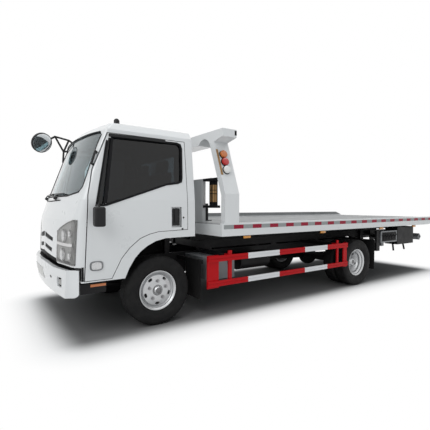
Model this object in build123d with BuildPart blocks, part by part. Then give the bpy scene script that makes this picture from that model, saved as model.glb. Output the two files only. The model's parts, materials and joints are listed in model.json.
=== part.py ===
"""Flatbed tow truck: a forward-control cab that tips forward, a bed that slides and tilts, an underlift.

Millimetres. +X is forward, +Y is left, +Z is up. The origin is on the ground, midway between the
front of the bumper and the tail of the bed, on the centre plane. Distances named ..._d are measured
forward from the front axle, so places behind it are negative.
"""

import os
from math import hypot

from build123d import *

os.makedirs("parts", exist_ok=True)

# ---------------------------------------------------------------- driving dimensions
front_overhang = 1075        # bumper ahead of the front axle
wheelbase = 3620
rear_overhang = 2680         # bed behind the rear axle
tail_d = -(wheelbase + rear_overhang)     # rear edge of the bed
axle_x = (front_overhang + tail_d) / -2   # front axle in the truck's own frame

tyre_radius = 387.5
tyre_width = 200
flange_radius = 222          # rim flange
seat_radius = 204            # where the tyre's bead sits
rim_half_width = 75
flange_thickness = 9
front_wheel_y = 840          # middle of a front tyre
dual_outer_y = 980           # middle of an outer rear tyre
dual_spacing = 230
hub_z = tyre_radius

rail_outer_y = 410           # ladder frame
rail_flange = 60
rail_wall = 8
rail_bottom = 530
rail_top = 720
rail_front_d = 900
rail_rear_d = -4830

fit = 0.05                   # radial clearance of pins and rods
gap = 0.3                    # clearance of pads, beads and seats
clear = 6                    # clearance of doors and other moving panels

bed_half_width = 1165
bed_front_d = -700
side_rail_bottom = 976
side_rail_top = 1133
side_rail_thickness = 40
deck_top = 1125
deck_thickness = 8
front_deck_step = 2          # the plate under the winch and gantry lies this much lower

cab_half_width = 1000
cab_rear_d = -430
cab_wall = 45
door_wall = 55


def at(distance):
    """The X of a place so far forward of the front axle."""
    return axle_x + distance


def slab(x_range, y_range, z_range, mode=Mode.ADD):
    """A box between two opposite corners."""
    spans = [sorted(span) for span in (x_range, y_range, z_range)]
    with Locations(tuple((low + high) / 2 for low, high in spans)):
        Box(*(high - low for low, high in spans), mode=mode)


def bar(radius, start, end, mode=Mode.ADD):
    """A round bar from one point to another."""
    run = Vector(*end) - Vector(*start)
    with Locations(Plane(origin=Vector(*start) + run / 2, z_dir=run)):
        Cylinder(radius, run.length, mode=mode)


def save(piece, name):
    """Label a finished piece and write it to its own file."""
    piece.part.label = name
    export_step(piece.part, f"parts/{name}.step")


sides = {"left": 1, "right": -1}

# ---------------------------------------------------------------- ladder frame
with BuildPart() as frame_rails:
    for side in sides.values():
        web_y = side * rail_outer_y
        lip_y = side * (rail_outer_y - rail_flange)
        slab((at(rail_rear_d), at(rail_front_d)), (lip_y, web_y), (rail_bottom, rail_top))
        slab((at(rail_rear_d), at(rail_front_d)), (lip_y, web_y - side * rail_wall),
             (rail_bottom + rail_wall, rail_top - rail_wall), mode=Mode.SUBTRACT)
save(frame_rails, "frame_rails")

# Cross members fit between the rails' webs.
cross_half_width = rail_outer_y - rail_wall
cross_length = 70
cross_bottom = 570
cross_top = 690
cross_places = (790, -1300, -2200, -3150, -4400, -4740)

# The tilt frame turns on a pin behind the rear axle, in lugs outside the rails.
tilt_pin_d = -4750
tilt_pin_z = 800
tilt_pin_radius = 25
lug_gap = 10
lug_thickness = 25
lug_reach = 55

# Two cylinders lift it: barrels on a tube in the frame, rods on a tube in the tilt frame.
barrel_pin_d = -4200
barrel_pin_z = 575
rod_pin_d = -2900
rod_pin_z = 800
cylinder_pin_radius = 25
cylinder_y = 220

# The cab tips on pins ahead of the rails and rests on posts behind the engine.
cab_pin_d = rail_front_d + 50
cab_pin_radius = 12
cab_lug_thickness = 30
cab_lug_radius = 24
cab_pin_z = rail_top + cab_lug_radius + 2
cab_lug_y = rail_outer_y - rail_flange / 2
cab_floor_z = 780            # underside of the foot floor
cab_tunnel_z = 985           # underside of the floor over engine and wheels
cab_post_d = (-400, -330)

# Steps under the doors, and hangers between the rear flaps and the control boxes.
step_d = (600, 850)
step_y = (640, 965)
step_z = (470, 572)
step_arm_d = (640, 720)
step_arm_z = (490, 560)
rear_d = -wheelbase
hanger_d = (rear_d - 670, rear_d - 570)
hanger_y = (1040, 1080)
hanger_z = (540, 900)
hanger_arm_z = (640, 700)

tilt_rail_bottom = 745
tilt_rail_top = 860
tilt_rail_width = 70
tilt_front_d = -850
tilt_rear_d = -5350
pad_length = 120
rest_pad_places = (-1000, -2300, -3400, -4500)

with BuildPart() as cross_members:
    for place in cross_places:
        slab((at(place - cross_length / 2), at(place + cross_length / 2)),
             (-cross_half_width, cross_half_width), (cross_bottom, cross_top))
    bar(cylinder_pin_radius, (at(barrel_pin_d), -cross_half_width, barrel_pin_z),
        (at(barrel_pin_d), cross_half_width, barrel_pin_z))
save(cross_members, "cross_members")

with BuildPart() as frame_brackets:
    for side in sides.values():
        # Lugs of the tilt pin.
        slab((at(tilt_pin_d - lug_reach), at(tilt_pin_d + lug_reach)),
             (side * rail_outer_y, side * (rail_outer_y + lug_gap + lug_thickness)),
             (cross_bottom, rail_top - lug_gap))
        slab((at(tilt_pin_d - lug_reach), at(tilt_pin_d + lug_reach)),
             (side * (rail_outer_y + lug_gap), side * (rail_outer_y + lug_gap + lug_thickness)),
             (cross_bottom, tilt_pin_z + lug_reach))
        # Pads under the tilt frame's rails.
        for place in rest_pad_places:
            slab((at(place - pad_length / 2), at(place + pad_length / 2)),
                 (side * (rail_outer_y - rail_flange), side * rail_outer_y),
                 (rail_top, tilt_rail_bottom - gap))
        # Lugs of the cab's tipping pins, on the ends of the rails.
        with BuildSketch(Plane.XZ.offset(-side * cab_lug_y)):
            with BuildLine():
                Polyline(
                    (at(rail_front_d - 80), rail_top),
                    (at(rail_front_d), rail_top),
                    (at(cab_pin_d), cab_pin_z - cab_lug_radius),
                    (at(cab_pin_d), cab_pin_z + cab_lug_radius),
                    (at(rail_front_d - 80), cab_pin_z),
                    close=True,
                )
            make_face()
            with Locations((at(cab_pin_d), cab_pin_z)):
                Circle(cab_lug_radius)
        extrude(amount=cab_lug_thickness / 2, both=True)
        # Posts under the back of the cab.
        slab((at(cab_post_d[0]), at(cab_post_d[1])),
             (side * (rail_outer_y - rail_flange), side * rail_outer_y),
             (rail_top, cab_tunnel_z - gap))
        slab([at(d) for d in step_d], [side * y for y in step_y], step_z)
        slab([at(d) for d in step_arm_d], (side * rail_outer_y, side * step_y[0]), step_arm_z)
        slab([at(d) for d in hanger_d], [side * y for y in hanger_y], hanger_z)
        slab([at(d) for d in hanger_d], (side * rail_outer_y, side * hanger_y[0]), hanger_arm_z)
    bar(tilt_pin_radius + fit, (at(tilt_pin_d), -bed_half_width, tilt_pin_z),
        (at(tilt_pin_d), bed_half_width, tilt_pin_z), mode=Mode.SUBTRACT)
    bar(cab_pin_radius + fit, (at(cab_pin_d), -bed_half_width, cab_pin_z),
        (at(cab_pin_d), bed_half_width, cab_pin_z), mode=Mode.SUBTRACT)
save(frame_brackets, "frame_brackets")

# ---------------------------------------------------------------- front axle, knuckles and tie rod
kingpin_y = 690
kingpin_radius = 18
boss_radius = 42
beam_bottom = 285
beam_top = 355
beam_half_length = 30
beam_level_half = 470        # the beam is level this far out, then rises to its ends
boss_bottom = 337
boss_top = 438
fork_gap = 5
fork_thickness = 34
fork_half_length = 40
fork_outer_y = 762
spindle_radius = 25
front_spring_y = rail_outer_y - rail_flange / 2
spring_width = 60

with BuildPart() as front_axle:
    with BuildSketch(Plane.YZ.offset(at(-beam_half_length))):
        for side in sides.values():
            with BuildLine():
                Polyline(
                    (0, beam_bottom),
                    (side * beam_level_half, beam_bottom),
                    (side * (kingpin_y - boss_radius), boss_bottom),
                    (side * kingpin_y, boss_bottom),
                    (side * kingpin_y, boss_top),
                    (side * (kingpin_y - boss_radius), boss_top),
                    (side * beam_level_half, beam_top),
                    (0, beam_top),
                    close=True,
                )
            make_face()
    extrude(amount=2 * beam_half_length)
    for side in sides.values():
        bar(boss_radius, (at(0), side * kingpin_y, boss_bottom), (at(0), side * kingpin_y, boss_top))
        bar(kingpin_radius + fit, (at(0), side * kingpin_y, 0), (at(0), side * kingpin_y, rail_top),
            mode=Mode.SUBTRACT)
save(front_axle, "front_axle")

# The steering arms point straight back, so the tie rod stays square to the truck.
arm_length = 180
arm_half_width = 18
ball_radius = 10
tie_rod_radius = 15
tie_eye_radius = 26
tie_eye_height = 24
tie_gap = 5
open_eye_play = 5            # the right eye is the linkage's open joint
lower_fork_bottom = boss_bottom - fork_gap - fork_thickness
tie_rod_z = lower_fork_bottom - tie_gap - tie_eye_height / 2

for name, side in sides.items():
    with BuildPart() as knuckle:
        pin = (at(0), side * kingpin_y)
        bar(kingpin_radius, (*pin, lower_fork_bottom), (*pin, boss_top + fork_gap + fork_thickness))
        for low in (lower_fork_bottom, boss_top + fork_gap):
            bar(boss_radius, (*pin, low), (*pin, low + fork_thickness))
            slab((at(-fork_half_length), at(fork_half_length)),
                 (side * kingpin_y, side * fork_outer_y), (low, low + fork_thickness))
        slab((at(-fork_half_length), at(fork_half_length)),
             (side * (kingpin_y + boss_radius + fork_gap), side * fork_outer_y),
             (lower_fork_bottom, boss_top + fork_gap + fork_thickness))
        bar(spindle_radius, (at(0), side * fork_outer_y, hub_z),
            (at(0), side * (front_wheel_y + 40), hub_z))
        slab((at(-arm_length), at(0)),
             (side * (kingpin_y - arm_half_width), side * (kingpin_y + arm_half_width)),
             (lower_fork_bottom, lower_fork_bottom + fork_thickness))
        bar(ball_radius, (at(-arm_length), side * kingpin_y, tie_rod_z - tie_eye_height),
            (at(-arm_length), side * kingpin_y, lower_fork_bottom + fork_thickness))
    save(knuckle, f"knuckle_{name}")

with BuildPart() as tie_rod:
    bar(tie_rod_radius, (at(-arm_length), -kingpin_y, tie_rod_z), (at(-arm_length), kingpin_y, tie_rod_z))
    for side in sides.values():
        bar(tie_eye_radius, (at(-arm_length), side * kingpin_y, tie_rod_z - tie_eye_height / 2),
            (at(-arm_length), side * kingpin_y, tie_rod_z + tie_eye_height / 2))
    for side, play in ((1, fit), (-1, open_eye_play)):
        bar(ball_radius + play, (at(-arm_length), side * kingpin_y, 0),
            (at(-arm_length), side * kingpin_y, rail_top), mode=Mode.SUBTRACT)
save(tie_rod, "tie_rod")

# ---------------------------------------------------------------- wheels
sidewall_radius = 300
shoulder_drop = 22


def wheel_plane(distance, y, side):
    """Local X is the radius and local Y points outboard, at a wheel's middle."""
    return Plane(origin=(at(distance), y * side, hub_z), x_dir=(1, 0, 0), z_dir=(0, 0, side))


def tyre(distance, y, side):
    """A tyre turned about its axle, seated between the rim's flanges."""
    half = tyre_width / 2
    bead = rim_half_width - flange_thickness - gap
    with BuildSketch(wheel_plane(distance, y, side)) as section:
        with BuildLine():
            Polyline(
                (seat_radius + gap, -bead), (flange_radius + 3, -bead), (flange_radius + 6, -bead - 12),
                (sidewall_radius, -half),
                (tyre_radius - shoulder_drop, -half + 8), (tyre_radius, -half + 30),
                (tyre_radius, half - 30), (tyre_radius - shoulder_drop, half - 8),
                (sidewall_radius, half), (flange_radius + 6, bead + 12), (flange_radius + 3, bead),
                (seat_radius + gap, bead),
                close=True,
            )
        make_face()
    revolve(section.sketch, axis=Axis((at(distance), 0, hub_z), (0, 1, 0)))


def barrel(distance, y, side):
    """A drop-centre rim turned about its axle."""
    wall = 6
    half, well = rim_half_width, seat_radius - 20
    outside = ((flange_radius, half), (flange_radius, half - flange_thickness),
               (seat_radius, half - flange_thickness), (seat_radius, 36), (well, 18))
    inside = ((well - wall, 20), (seat_radius - wall, 40), (seat_radius - wall, half - 14),
              (flange_radius - 8, half))
    ring = ([(r, w) for r, w in outside] + [(r, -w) for r, w in reversed(outside)]
            + [(r, -w) for r, w in reversed(inside)] + [(r, w) for r, w in inside])
    with BuildSketch(wheel_plane(distance, y, side)) as section:
        with BuildLine():
            Polyline(*ring, close=True)
        make_face()
    revolve(section.sketch, axis=Axis((at(distance), 0, hub_z), (0, 1, 0)))


def disc(distance, y, side, corners):
    """A pressed disc or hub turned about its axle; corners are (radius, outboard) pairs."""
    with BuildSketch(wheel_plane(distance, y, side)) as section:
        with BuildLine():
            Polyline(*corners, close=True)
        make_face()
    revolve(section.sketch, axis=Axis((at(distance), 0, hub_z), (0, 1, 0)))


hand_hole_count = 5
hand_hole_radius = 148       # circle on which they lie
hand_hole_size = (52, 30)
well_radius = seat_radius - 23


def hand_holes(distance, side, y_range):
    """Oval holes through the disc, one between each pair of studs."""
    with BuildSketch(Plane(origin=(at(distance), side * y_range[0], hub_z), x_dir=(0, 0, 1),
                           z_dir=(0, side, 0))) as holes:
        with PolarLocations(hand_hole_radius, hand_hole_count, start_angle=180 / hand_hole_count):
            SlotOverall(*hand_hole_size, rotation=90)
    extrude(holes.sketch, amount=y_range[1] - y_range[0], mode=Mode.SUBTRACT)


hub_radius = 62
drum_radius = 160
front_face_offset = 58       # the front disc bulges outboard of the tyre's middle

for name, side in sides.items():
    with BuildPart() as front_tyre:
        tyre(0, front_wheel_y, side)
    save(front_tyre, f"front_tyre_{name}")

    with BuildPart() as front_rim:
        barrel(0, front_wheel_y, side)
        disc(0, front_wheel_y, side, (
            (well_radius + 2, 14), (well_radius - 12, 46), (120, front_face_offset),
            (0, front_face_offset), (0, front_face_offset - 9), (118, front_face_offset - 9),
            (well_radius - 22, 38), (well_radius - 8, -4), (well_radius + 2, -4)))
        disc(0, front_wheel_y, side, (
            (0, 84), (34, 84), (44, 74), (50, front_face_offset), (hub_radius, front_face_offset - 5),
            (hub_radius, -30), (drum_radius, -34), (drum_radius, -72), (0, -72)))
        hand_holes(0, side, (front_wheel_y + 20, front_wheel_y + 80))
        bar(spindle_radius + fit, (at(0), side * kingpin_y, hub_z),
            (at(0), side * (front_wheel_y + 45), hub_z), mode=Mode.SUBTRACT)
    save(front_rim, f"front_rim_{name}")

dual_inner_y = dual_outer_y - dual_spacing
disc_y = (dual_outer_y + dual_inner_y) / 2     # where the two discs are bolted together
rear_spindle_radius = 35
rear_tube_radius = 55
rear_tube_half = 620
rear_hub_radius = 88
rear_cap_y = 985

for name, side in sides.items():
    with BuildPart() as rear_tyres:
        for wheel_y in (dual_outer_y, dual_inner_y):
            tyre(rear_d, wheel_y, side)
    save(rear_tyres, f"rear_tyres_{name}")

    with BuildPart() as rear_rims:
        for wheel_y, out in ((dual_outer_y, 1), (dual_inner_y, -1)):
            barrel(rear_d, wheel_y, side)
            step = wheel_y - disc_y
            disc(rear_d, disc_y, side, (
                (0, 0), (132, 0), (156, step * 0.35), (well_radius + 2, step * 0.85),
                (well_radius + 2, step * 0.85 + out * 12), (146, step * 0.35 + out * 4),
                (126, out * 10), (0, out * 10)))
        disc(rear_d, disc_y, side, (
            (0, rear_cap_y - disc_y), (50, rear_cap_y - disc_y), (rear_hub_radius, 70),
            (rear_hub_radius, -20), (drum_radius - 12, -24), (drum_radius - 12, -185), (0, -185)))
        hand_holes(rear_d, side, (disc_y - 110, disc_y + 110))
        bar(rear_spindle_radius + fit, (at(rear_d), side * rear_tube_half, hub_z),
            (at(rear_d), side * (dual_outer_y - 60), hub_z), mode=Mode.SUBTRACT)
    save(rear_rims, f"rear_rims_{name}")

# ---------------------------------------------------------------- rear axle and springs
rear_spring_y = 460
bowl_radius = 165

with BuildPart() as rear_axle:
    bar(rear_tube_radius, (at(rear_d), -rear_tube_half, hub_z), (at(rear_d), rear_tube_half, hub_z))
    bar(rear_spindle_radius, (at(rear_d), -(dual_outer_y - 65), hub_z),
        (at(rear_d), dual_outer_y - 65, hub_z))
    with Locations((at(rear_d), 0, hub_z)):
        Sphere(bowl_radius)
    spring_low = hub_z + rear_tube_radius
    for side in sides.values():
        # Seats of the springs.
        slab((at(rear_d - 60), at(rear_d + 60)),
             (side * (rear_spring_y - spring_width / 2), side * (rear_spring_y + spring_width / 2)),
             (hub_z, spring_low))
save(rear_axle, "rear_axle")

# columns: distance of the middle, y, height under the middle, half length, rise, thickness, hanger's top
springs_table = (
    (0, front_spring_y, beam_top, 560, 90, 42, rail_bottom),
    (rear_d, rear_spring_y, hub_z + rear_tube_radius, 600, 90, 70, rail_bottom + 90),
)
with BuildPart() as springs:
    for middle, y, low_z, half, rise, thickness, hanger_top in springs_table:
        for side in sides.values():
            with BuildSketch(Plane.XZ.offset(-side * y)):
                with BuildLine():
                    low = ThreePointArc((at(middle - half), low_z + rise), (at(middle), low_z),
                                        (at(middle + half), low_z + rise))
                    high = ThreePointArc((at(middle - half), low_z + rise + 22),
                                         (at(middle), low_z + thickness),
                                         (at(middle + half), low_z + rise + 22))
                    Line(low @ 0, high @ 0)
                    Line(low @ 1, high @ 1)
                make_face()
            extrude(amount=spring_width / 2, both=True)
            # Hangers: under the rail in front, on its outer face at the back.
            inner_y = min(rail_outer_y, y - spring_width / 2) if y < rail_outer_y else rail_outer_y
            for end in (-1, 1):
                slab((at(middle + end * half - 32), at(middle + end * half + 32)),
                     (side * inner_y, side * (y + spring_width / 2)), (low_z + rise, hanger_top))
save(springs, "springs")


# ---------------------------------------------------------------- engine, gearbox, radiator, shaft
engine_d = (-450, 400)
engine_half_width = 260
engine_z = (400, 930)
gearbox_d = -1150
gearbox_half_width = 160
gearbox_z = (400, 640)
shaft_z = 480
shaft_radius = 40
radiator_d = (600, 660)
radiator_half_width = 300
radiator_z = (400, 750)

with BuildPart() as engine:
    slab((at(engine_d[0]), at(engine_d[1])), (-engine_half_width, engine_half_width), engine_z)
    slab((at(gearbox_d), at(engine_d[0])), (-gearbox_half_width, gearbox_half_width), gearbox_z)
    slab((at(-40), at(60)), (-cross_half_width, cross_half_width), (cross_bottom, cross_bottom + 60))
    slab((at(radiator_d[0]), at(radiator_d[1])), (-radiator_half_width, radiator_half_width),
         radiator_z)
    slab((at(radiator_d[0]), at(radiator_d[1] - 20)), (-cross_half_width, cross_half_width),
         (cross_bottom, cross_top))
    bar(shaft_radius, (at(gearbox_d - gap), 0, shaft_z), (at(rear_d + bowl_radius - 5), 0, hub_z + 10))
    with Locations((at(rear_d), 0, hub_z)):
        Sphere(bowl_radius + gap, mode=Mode.SUBTRACT)
save(engine, "engine")

# ---------------------------------------------------------------- bumper
bumper_rear_d = 865
bumper_bottom = 440
bumper_top = 710
bumper_wall = 40
bumper_half_width = 985
bumper_corner_d = 965        # where the front curve begins to turn to the side
bumper_corner_y = 895
bumper_crown_top = 738       # the middle stands higher,
bumper_crown_y = (250, 600)  # full height out to the first, none from the second
bumper_chin_z = 610          # below this the front draws back,
bumper_chin_pull = 45        # so far in the middle at the bottom,
bumper_chin_corner = -10     # and so far at the corners
bumper_heel_radius = 50      # of the lower rear corners
fog_recess_y = (690, 800)
fog_recess_z = (530, 625)
fog_recess_depth = 20


def bumper_plan(inset, corner_pull=0, middle_pull=0):
    """The bumper seen from above, drawn in by `inset`, and back by the two pulls."""
    corner = at(bumper_corner_d - inset - corner_pull)
    with BuildLine() as outline:
        ThreePointArc(
            (corner, -bumper_corner_y),
            (at(front_overhang - inset - middle_pull), 0),
            (corner, bumper_corner_y),
        )
        for side in (1, -1):
            RadiusArc(
                (corner, side * bumper_corner_y),
                (at(bumper_rear_d), side * (bumper_half_width - inset)),
                side * 180,
            )
        Line((at(bumper_rear_d), bumper_half_width - inset), (at(bumper_rear_d), -bumper_half_width + inset))
    make_face(outline.edges())


def bumper_form(inset):
    """The bumper's block from its bottom to its crown, with the chin drawn back."""
    with BuildPart() as form:
        with BuildSketch(Plane.XY.offset(bumper_bottom)):
            bumper_plan(inset, bumper_chin_corner, bumper_chin_pull)
        with BuildSketch(Plane.XY.offset(bumper_chin_z)):
            bumper_plan(inset)
        with BuildSketch(Plane.XY.offset(bumper_crown_top)):
            bumper_plan(inset)
        loft(ruled=True)
    return form.part


with BuildPart() as fog_recesses:
    for side in sides.values():
        slab((at(bumper_rear_d), at(front_overhang)), [side * y for y in fog_recess_y], fog_recess_z)
    add(bumper_form(fog_recess_depth), mode=Mode.SUBTRACT)

with BuildPart() as bumper:
    add(bumper_form(0))
    add(bumper_form(bumper_wall), mode=Mode.SUBTRACT)
    with BuildSketch(Plane.YZ.offset(at(bumper_rear_d))):
        for side in sides.values():
            with BuildLine():
                Polyline((side * bumper_crown_y[0], bumper_crown_top), (side * bumper_crown_y[1], bumper_top),
                         (side * cab_half_width, bumper_top), (side * cab_half_width, bumper_crown_top),
                         close=True)
            make_face()
    extrude(amount=front_overhang - bumper_rear_d, mode=Mode.SUBTRACT)
    with BuildSketch(Plane.XZ):
        with BuildLine():
            heel = (at(bumper_rear_d + bumper_heel_radius), bumper_bottom)
            RadiusArc((at(bumper_rear_d), bumper_bottom + bumper_heel_radius), heel, -bumper_heel_radius)
            Polyline(heel, (at(bumper_rear_d), bumper_bottom), (at(bumper_rear_d), bumper_bottom + bumper_heel_radius))
        make_face()
    extrude(amount=cab_half_width, both=True, mode=Mode.SUBTRACT)
    add(fog_recesses.part, mode=Mode.SUBTRACT)
    for side in sides.values():
        slab((at(rail_front_d), at(front_overhang - bumper_wall)),
             (side * (rail_outer_y - rail_flange), side * rail_outer_y), (570, 630))
save(bumper, "bumper")

# ---------------------------------------------------------------- tanks, boxes, exhaust, flaps
fuel_tank_d = (-1750, -1000)
fuel_tank_y = (-950, -470)
fuel_arm_places = (-1570, -1180)
air_tank_d = (-1900, -1350)
air_tank_y = 610
air_tank_z = 560
air_arm_places = (-1780, -1470)
with BuildPart() as tanks:
    # Fuel tank on the right.
    slab([at(d) for d in fuel_tank_d], fuel_tank_y, (390, 700))
    fillet(tanks.edges().filter_by(Axis.X), 60)
    for place in fuel_arm_places:
        slab((at(place - 30), at(place + 30)), (fuel_tank_y[1] - 10, -rail_outer_y), (560, 680))
    # Air tank on the left.
    bar(125, (at(air_tank_d[0]), air_tank_y, air_tank_z), (at(air_tank_d[1]), air_tank_y, air_tank_z))
    for place in air_arm_places:
        slab((at(place - 20), at(place + 20)), (rail_outer_y, air_tank_y - 50), (air_tank_z, air_tank_z + 80))
save(tanks, "tanks")

control_box_d = (rear_d - 1230, rear_d - 680)
control_arm_d = (rear_d - 980, rear_d - 900)
with BuildPart() as side_boxes:
    # Battery box behind the cab on the left.
    slab((at(-1050), at(-640)), (rail_outer_y, 960), (430, 700))
    # A box of control levers on each side, on an arm from the frame.
    for side in sides.values():
        slab((at(control_box_d[0]), at(control_box_d[1])), (side * 980, side * 1100), (680, 890))
        slab([at(d) for d in control_arm_d], (side * rail_outer_y, side * 985), (600, 700))
        slab([at(d) for d in control_arm_d], (side * 940, side * 985), (600, 760))
save(side_boxes, "side_boxes")

with BuildPart() as exhaust:
    bar(110, (at(-2750), -600, 520), (at(-2050), -600, 520))
    for place in (-2650, -2200):
        slab((at(place), at(place + 40)), (-520, -rail_outer_y), (560, 640))
    bar(30, (at(-2060), -600, 520), (at(-1850), -600, 520))
    bar(30, (at(-2740), -600, 520), (at(-2900), -600, 520))
save(exhaust, "exhaust")

flap_setback = 510           # behind the axle
flap_thickness = 10
with BuildPart() as mud_flaps:
    # columns: distance from the axle, y range, z range, height of the bracket bar
    for place, y_range, z_range in (
        (-flap_setback, (640, 990), (220, 690)),
        (rear_d - flap_setback, (660, 1070), (220, 740)),
    ):
        for side in sides.values():
            slab((at(place - flap_thickness), at(place)), [side * y for y in y_range], z_range)
            slab((at(place - 40), at(place)), (side * rail_outer_y, side * y_range[1]),
                 (z_range[1] - 50, z_range[1]))
save(mud_flaps, "mud_flaps")

# ---------------------------------------------------------------- side guards
guard_y = 1150
guard_bar = 18
guard_top_z = (682, 752)
guard_low_z = (389, 454)
guard_front_d = -520
guard_rear_d = -3220
guard_groove = (4, 14)       # depth and height of the groove along each rail
# columns: front, rear, bottom, top of each upright
guard_posts_table = (
    (-520, -680, 370, 757),
    (-825, -877, 389, 800),
    (-2960, -3000, 389, 806),
    (-3130, -3220, 370, 757),
)
with BuildPart() as guard_posts:
    for side in sides.values():
        for front, rear, low, high in guard_posts_table:
            slab((at(front), at(rear)), (side * (guard_y - guard_bar), side * (guard_y - 2 * guard_bar)),
                 (low, high))
        # Arms from the frame to the uprights.
        for place in (-851, -2980):
            slab((at(place - 25), at(place + 25)), (side * rail_outer_y, side * (guard_y - 2 * guard_bar)),
                 (710, 755))
save(guard_posts, "guard_posts")

with BuildPart() as guard_rails:
    for side in sides.values():
        for z_range in (guard_top_z, guard_low_z):
            slab((at(guard_rear_d), at(guard_front_d)), (side * (guard_y - guard_bar), side * guard_y), z_range)
            middle = sum(z_range) / 2
            slab((at(guard_rear_d), at(guard_front_d)), (side * (guard_y - guard_groove[0]), side * guard_y),
                 (middle - guard_groove[1] / 2, middle + guard_groove[1] / 2), mode=Mode.SUBTRACT)
save(guard_rails, "guard_rails")

# ---------------------------------------------------------------- tilt frame
saddle_top = 885
barrel_radius = 45
slide_rod_radius = 25
slide_z = saddle_top + barrel_radius
slide_barrel_d = (-4350, -950)
lift_pin_d = -5250
lift_pin_z = 690
lift_pin_radius = 20
boom_half_width = 70
boom_half_height = 50
boom_wall = 10
lift_lug_thickness = 20
tail_plate_d = (-5900, -4960)
tail_plate_y = 480
tail_plate_thickness = 20
tail_box_d = (-5506, -4890)
tail_box_y = (850, 1090)
tail_box_z = (616, 948)
tail_tube_places = (-5420, -5060)
tail_leg_radius = 16
tail_leg_z = 485
tail_legs = ((-4950, -4985), (-5330, -5400))   # top and foot of each leg
tilt_pad_height = 5
tilt_cross_places = (-900, -1700, -2600, -4000, -5200, -5320)
tilt_cross_z = (755, 850)
tilt_inner_y = rail_outer_y - tilt_rail_width

with BuildPart() as tilt_rails:
    for side in sides.values():
        slab((at(tilt_rear_d), at(tilt_front_d)), (side * tilt_inner_y, side * rail_outer_y),
             (tilt_rail_bottom, tilt_rail_top))
        for place in (*rest_pad_places, tilt_rear_d + pad_length / 2):
            slab((at(place - pad_length / 2), at(place + pad_length / 2)),
                 (side * tilt_inner_y, side * rail_outer_y),
                 (tilt_rail_top, tilt_rail_top + tilt_pad_height))
        # Black plates under the tail, outside the rails.
        slab((at(tail_plate_d[0]), at(tail_plate_d[1])),
             (side * tail_plate_y, side * (tail_plate_y + tail_plate_thickness)), (650, 850))
        slab((at(tilt_rear_d), at(tilt_rear_d + 60)), (side * rail_outer_y, side * tail_plate_y),
             (760, 850))
        # Boxes outboard of the plates, on square tubes, each with two sloping legs.
        slab([at(d) for d in tail_box_d], [side * y for y in tail_box_y], tail_box_z)
        for place in tail_tube_places:
            slab((at(place - 30), at(place + 30)), (side * tail_plate_y, side * tail_box_y[0]), (700, 760))
        for top_d, foot_d in tail_legs:
            leg_y = side * sum(tail_box_y) / 2
            bar(tail_leg_radius, (at(top_d), leg_y, tail_box_z[0] + 20), (at(foot_d), leg_y, tail_leg_z))
        bar(tilt_pin_radius, (at(tilt_pin_d), side * tilt_inner_y, tilt_pin_z),
            (at(tilt_pin_d), side * (rail_outer_y + lug_gap + lug_thickness), tilt_pin_z))
save(tilt_rails, "tilt_rails")

with BuildPart() as tilt_cross_members:
    for place in tilt_cross_places:
        slab((at(place - 30), at(place + 30)), (-tilt_inner_y, tilt_inner_y), tilt_cross_z)
    bar(cylinder_pin_radius, (at(rod_pin_d), -tilt_inner_y, rod_pin_z),
        (at(rod_pin_d), tilt_inner_y, rod_pin_z))
    for side in sides.values():
        slab((at(lift_pin_d - 40), at(lift_pin_d + 40)),
             (side * (boom_half_width + clear), side * (boom_half_width + clear + lift_lug_thickness)),
             (lift_pin_z - 40, tilt_cross_z[1]))
    # Saddles of the slide cylinder.
    for place in (-1700, -4000):
        slab((at(place - 30), at(place + 30)), (-40, 40), (tilt_cross_z[1], slide_z))
    bar(barrel_radius, (at(slide_barrel_d[0]), 0, slide_z), (at(slide_barrel_d[1]), 0, slide_z),
        mode=Mode.SUBTRACT)
    bar(lift_pin_radius + fit, (at(lift_pin_d), -tilt_inner_y, lift_pin_z),
        (at(lift_pin_d), tilt_inner_y, lift_pin_z), mode=Mode.SUBTRACT)
save(tilt_cross_members, "tilt_cross_members")

with BuildPart() as slide_barrel:
    bar(barrel_radius, (at(slide_barrel_d[0]), 0, slide_z), (at(slide_barrel_d[1]), 0, slide_z))
    bar(slide_rod_radius + fit, (at(slide_barrel_d[0]), 0, slide_z),
        (at(slide_barrel_d[1] - 40), 0, slide_z), mode=Mode.SUBTRACT)
save(slide_barrel, "slide_barrel")

# ---------------------------------------------------------------- tilt cylinders
rod_radius = 25
cylinder_eye = 42
open_pin_play = 6            # the rods' eyes are the linkage's open joints
run_d = rod_pin_d - barrel_pin_d
run_z = rod_pin_z - barrel_pin_z
run_length = hypot(run_d, run_z)
barrel_end = 900
bore_start = 150


def along(distance, y):
    """A point so far along a tilt cylinder from its lower pin."""
    share = distance / run_length
    return (at(barrel_pin_d + run_d * share), y, barrel_pin_z + run_z * share)


with BuildPart() as tilt_barrels:
    for side in sides.values():
        y = side * cylinder_y
        bar(cylinder_eye, (at(barrel_pin_d), y - 35, barrel_pin_z), (at(barrel_pin_d), y + 35, barrel_pin_z))
        bar(barrel_radius, along(30, y), along(barrel_end, y))
        bar(rod_radius + fit, along(bore_start, y), along(barrel_end, y), mode=Mode.SUBTRACT)
        bar(cylinder_pin_radius + fit, (at(barrel_pin_d), y - 60, barrel_pin_z),
            (at(barrel_pin_d), y + 60, barrel_pin_z), mode=Mode.SUBTRACT)
save(tilt_barrels, "tilt_barrels")

with BuildPart() as tilt_rods:
    for side in sides.values():
        y = side * cylinder_y
        bar(rod_radius, along(bore_start + 20, y), along(run_length - 20, y))
        bar(cylinder_eye, (at(rod_pin_d), y - 35, rod_pin_z), (at(rod_pin_d), y + 35, rod_pin_z))
        bar(cylinder_pin_radius + open_pin_play, (at(rod_pin_d), y - 60, rod_pin_z),
            (at(rod_pin_d), y + 60, rod_pin_z), mode=Mode.SUBTRACT)
save(tilt_rods, "tilt_rods")

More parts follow.
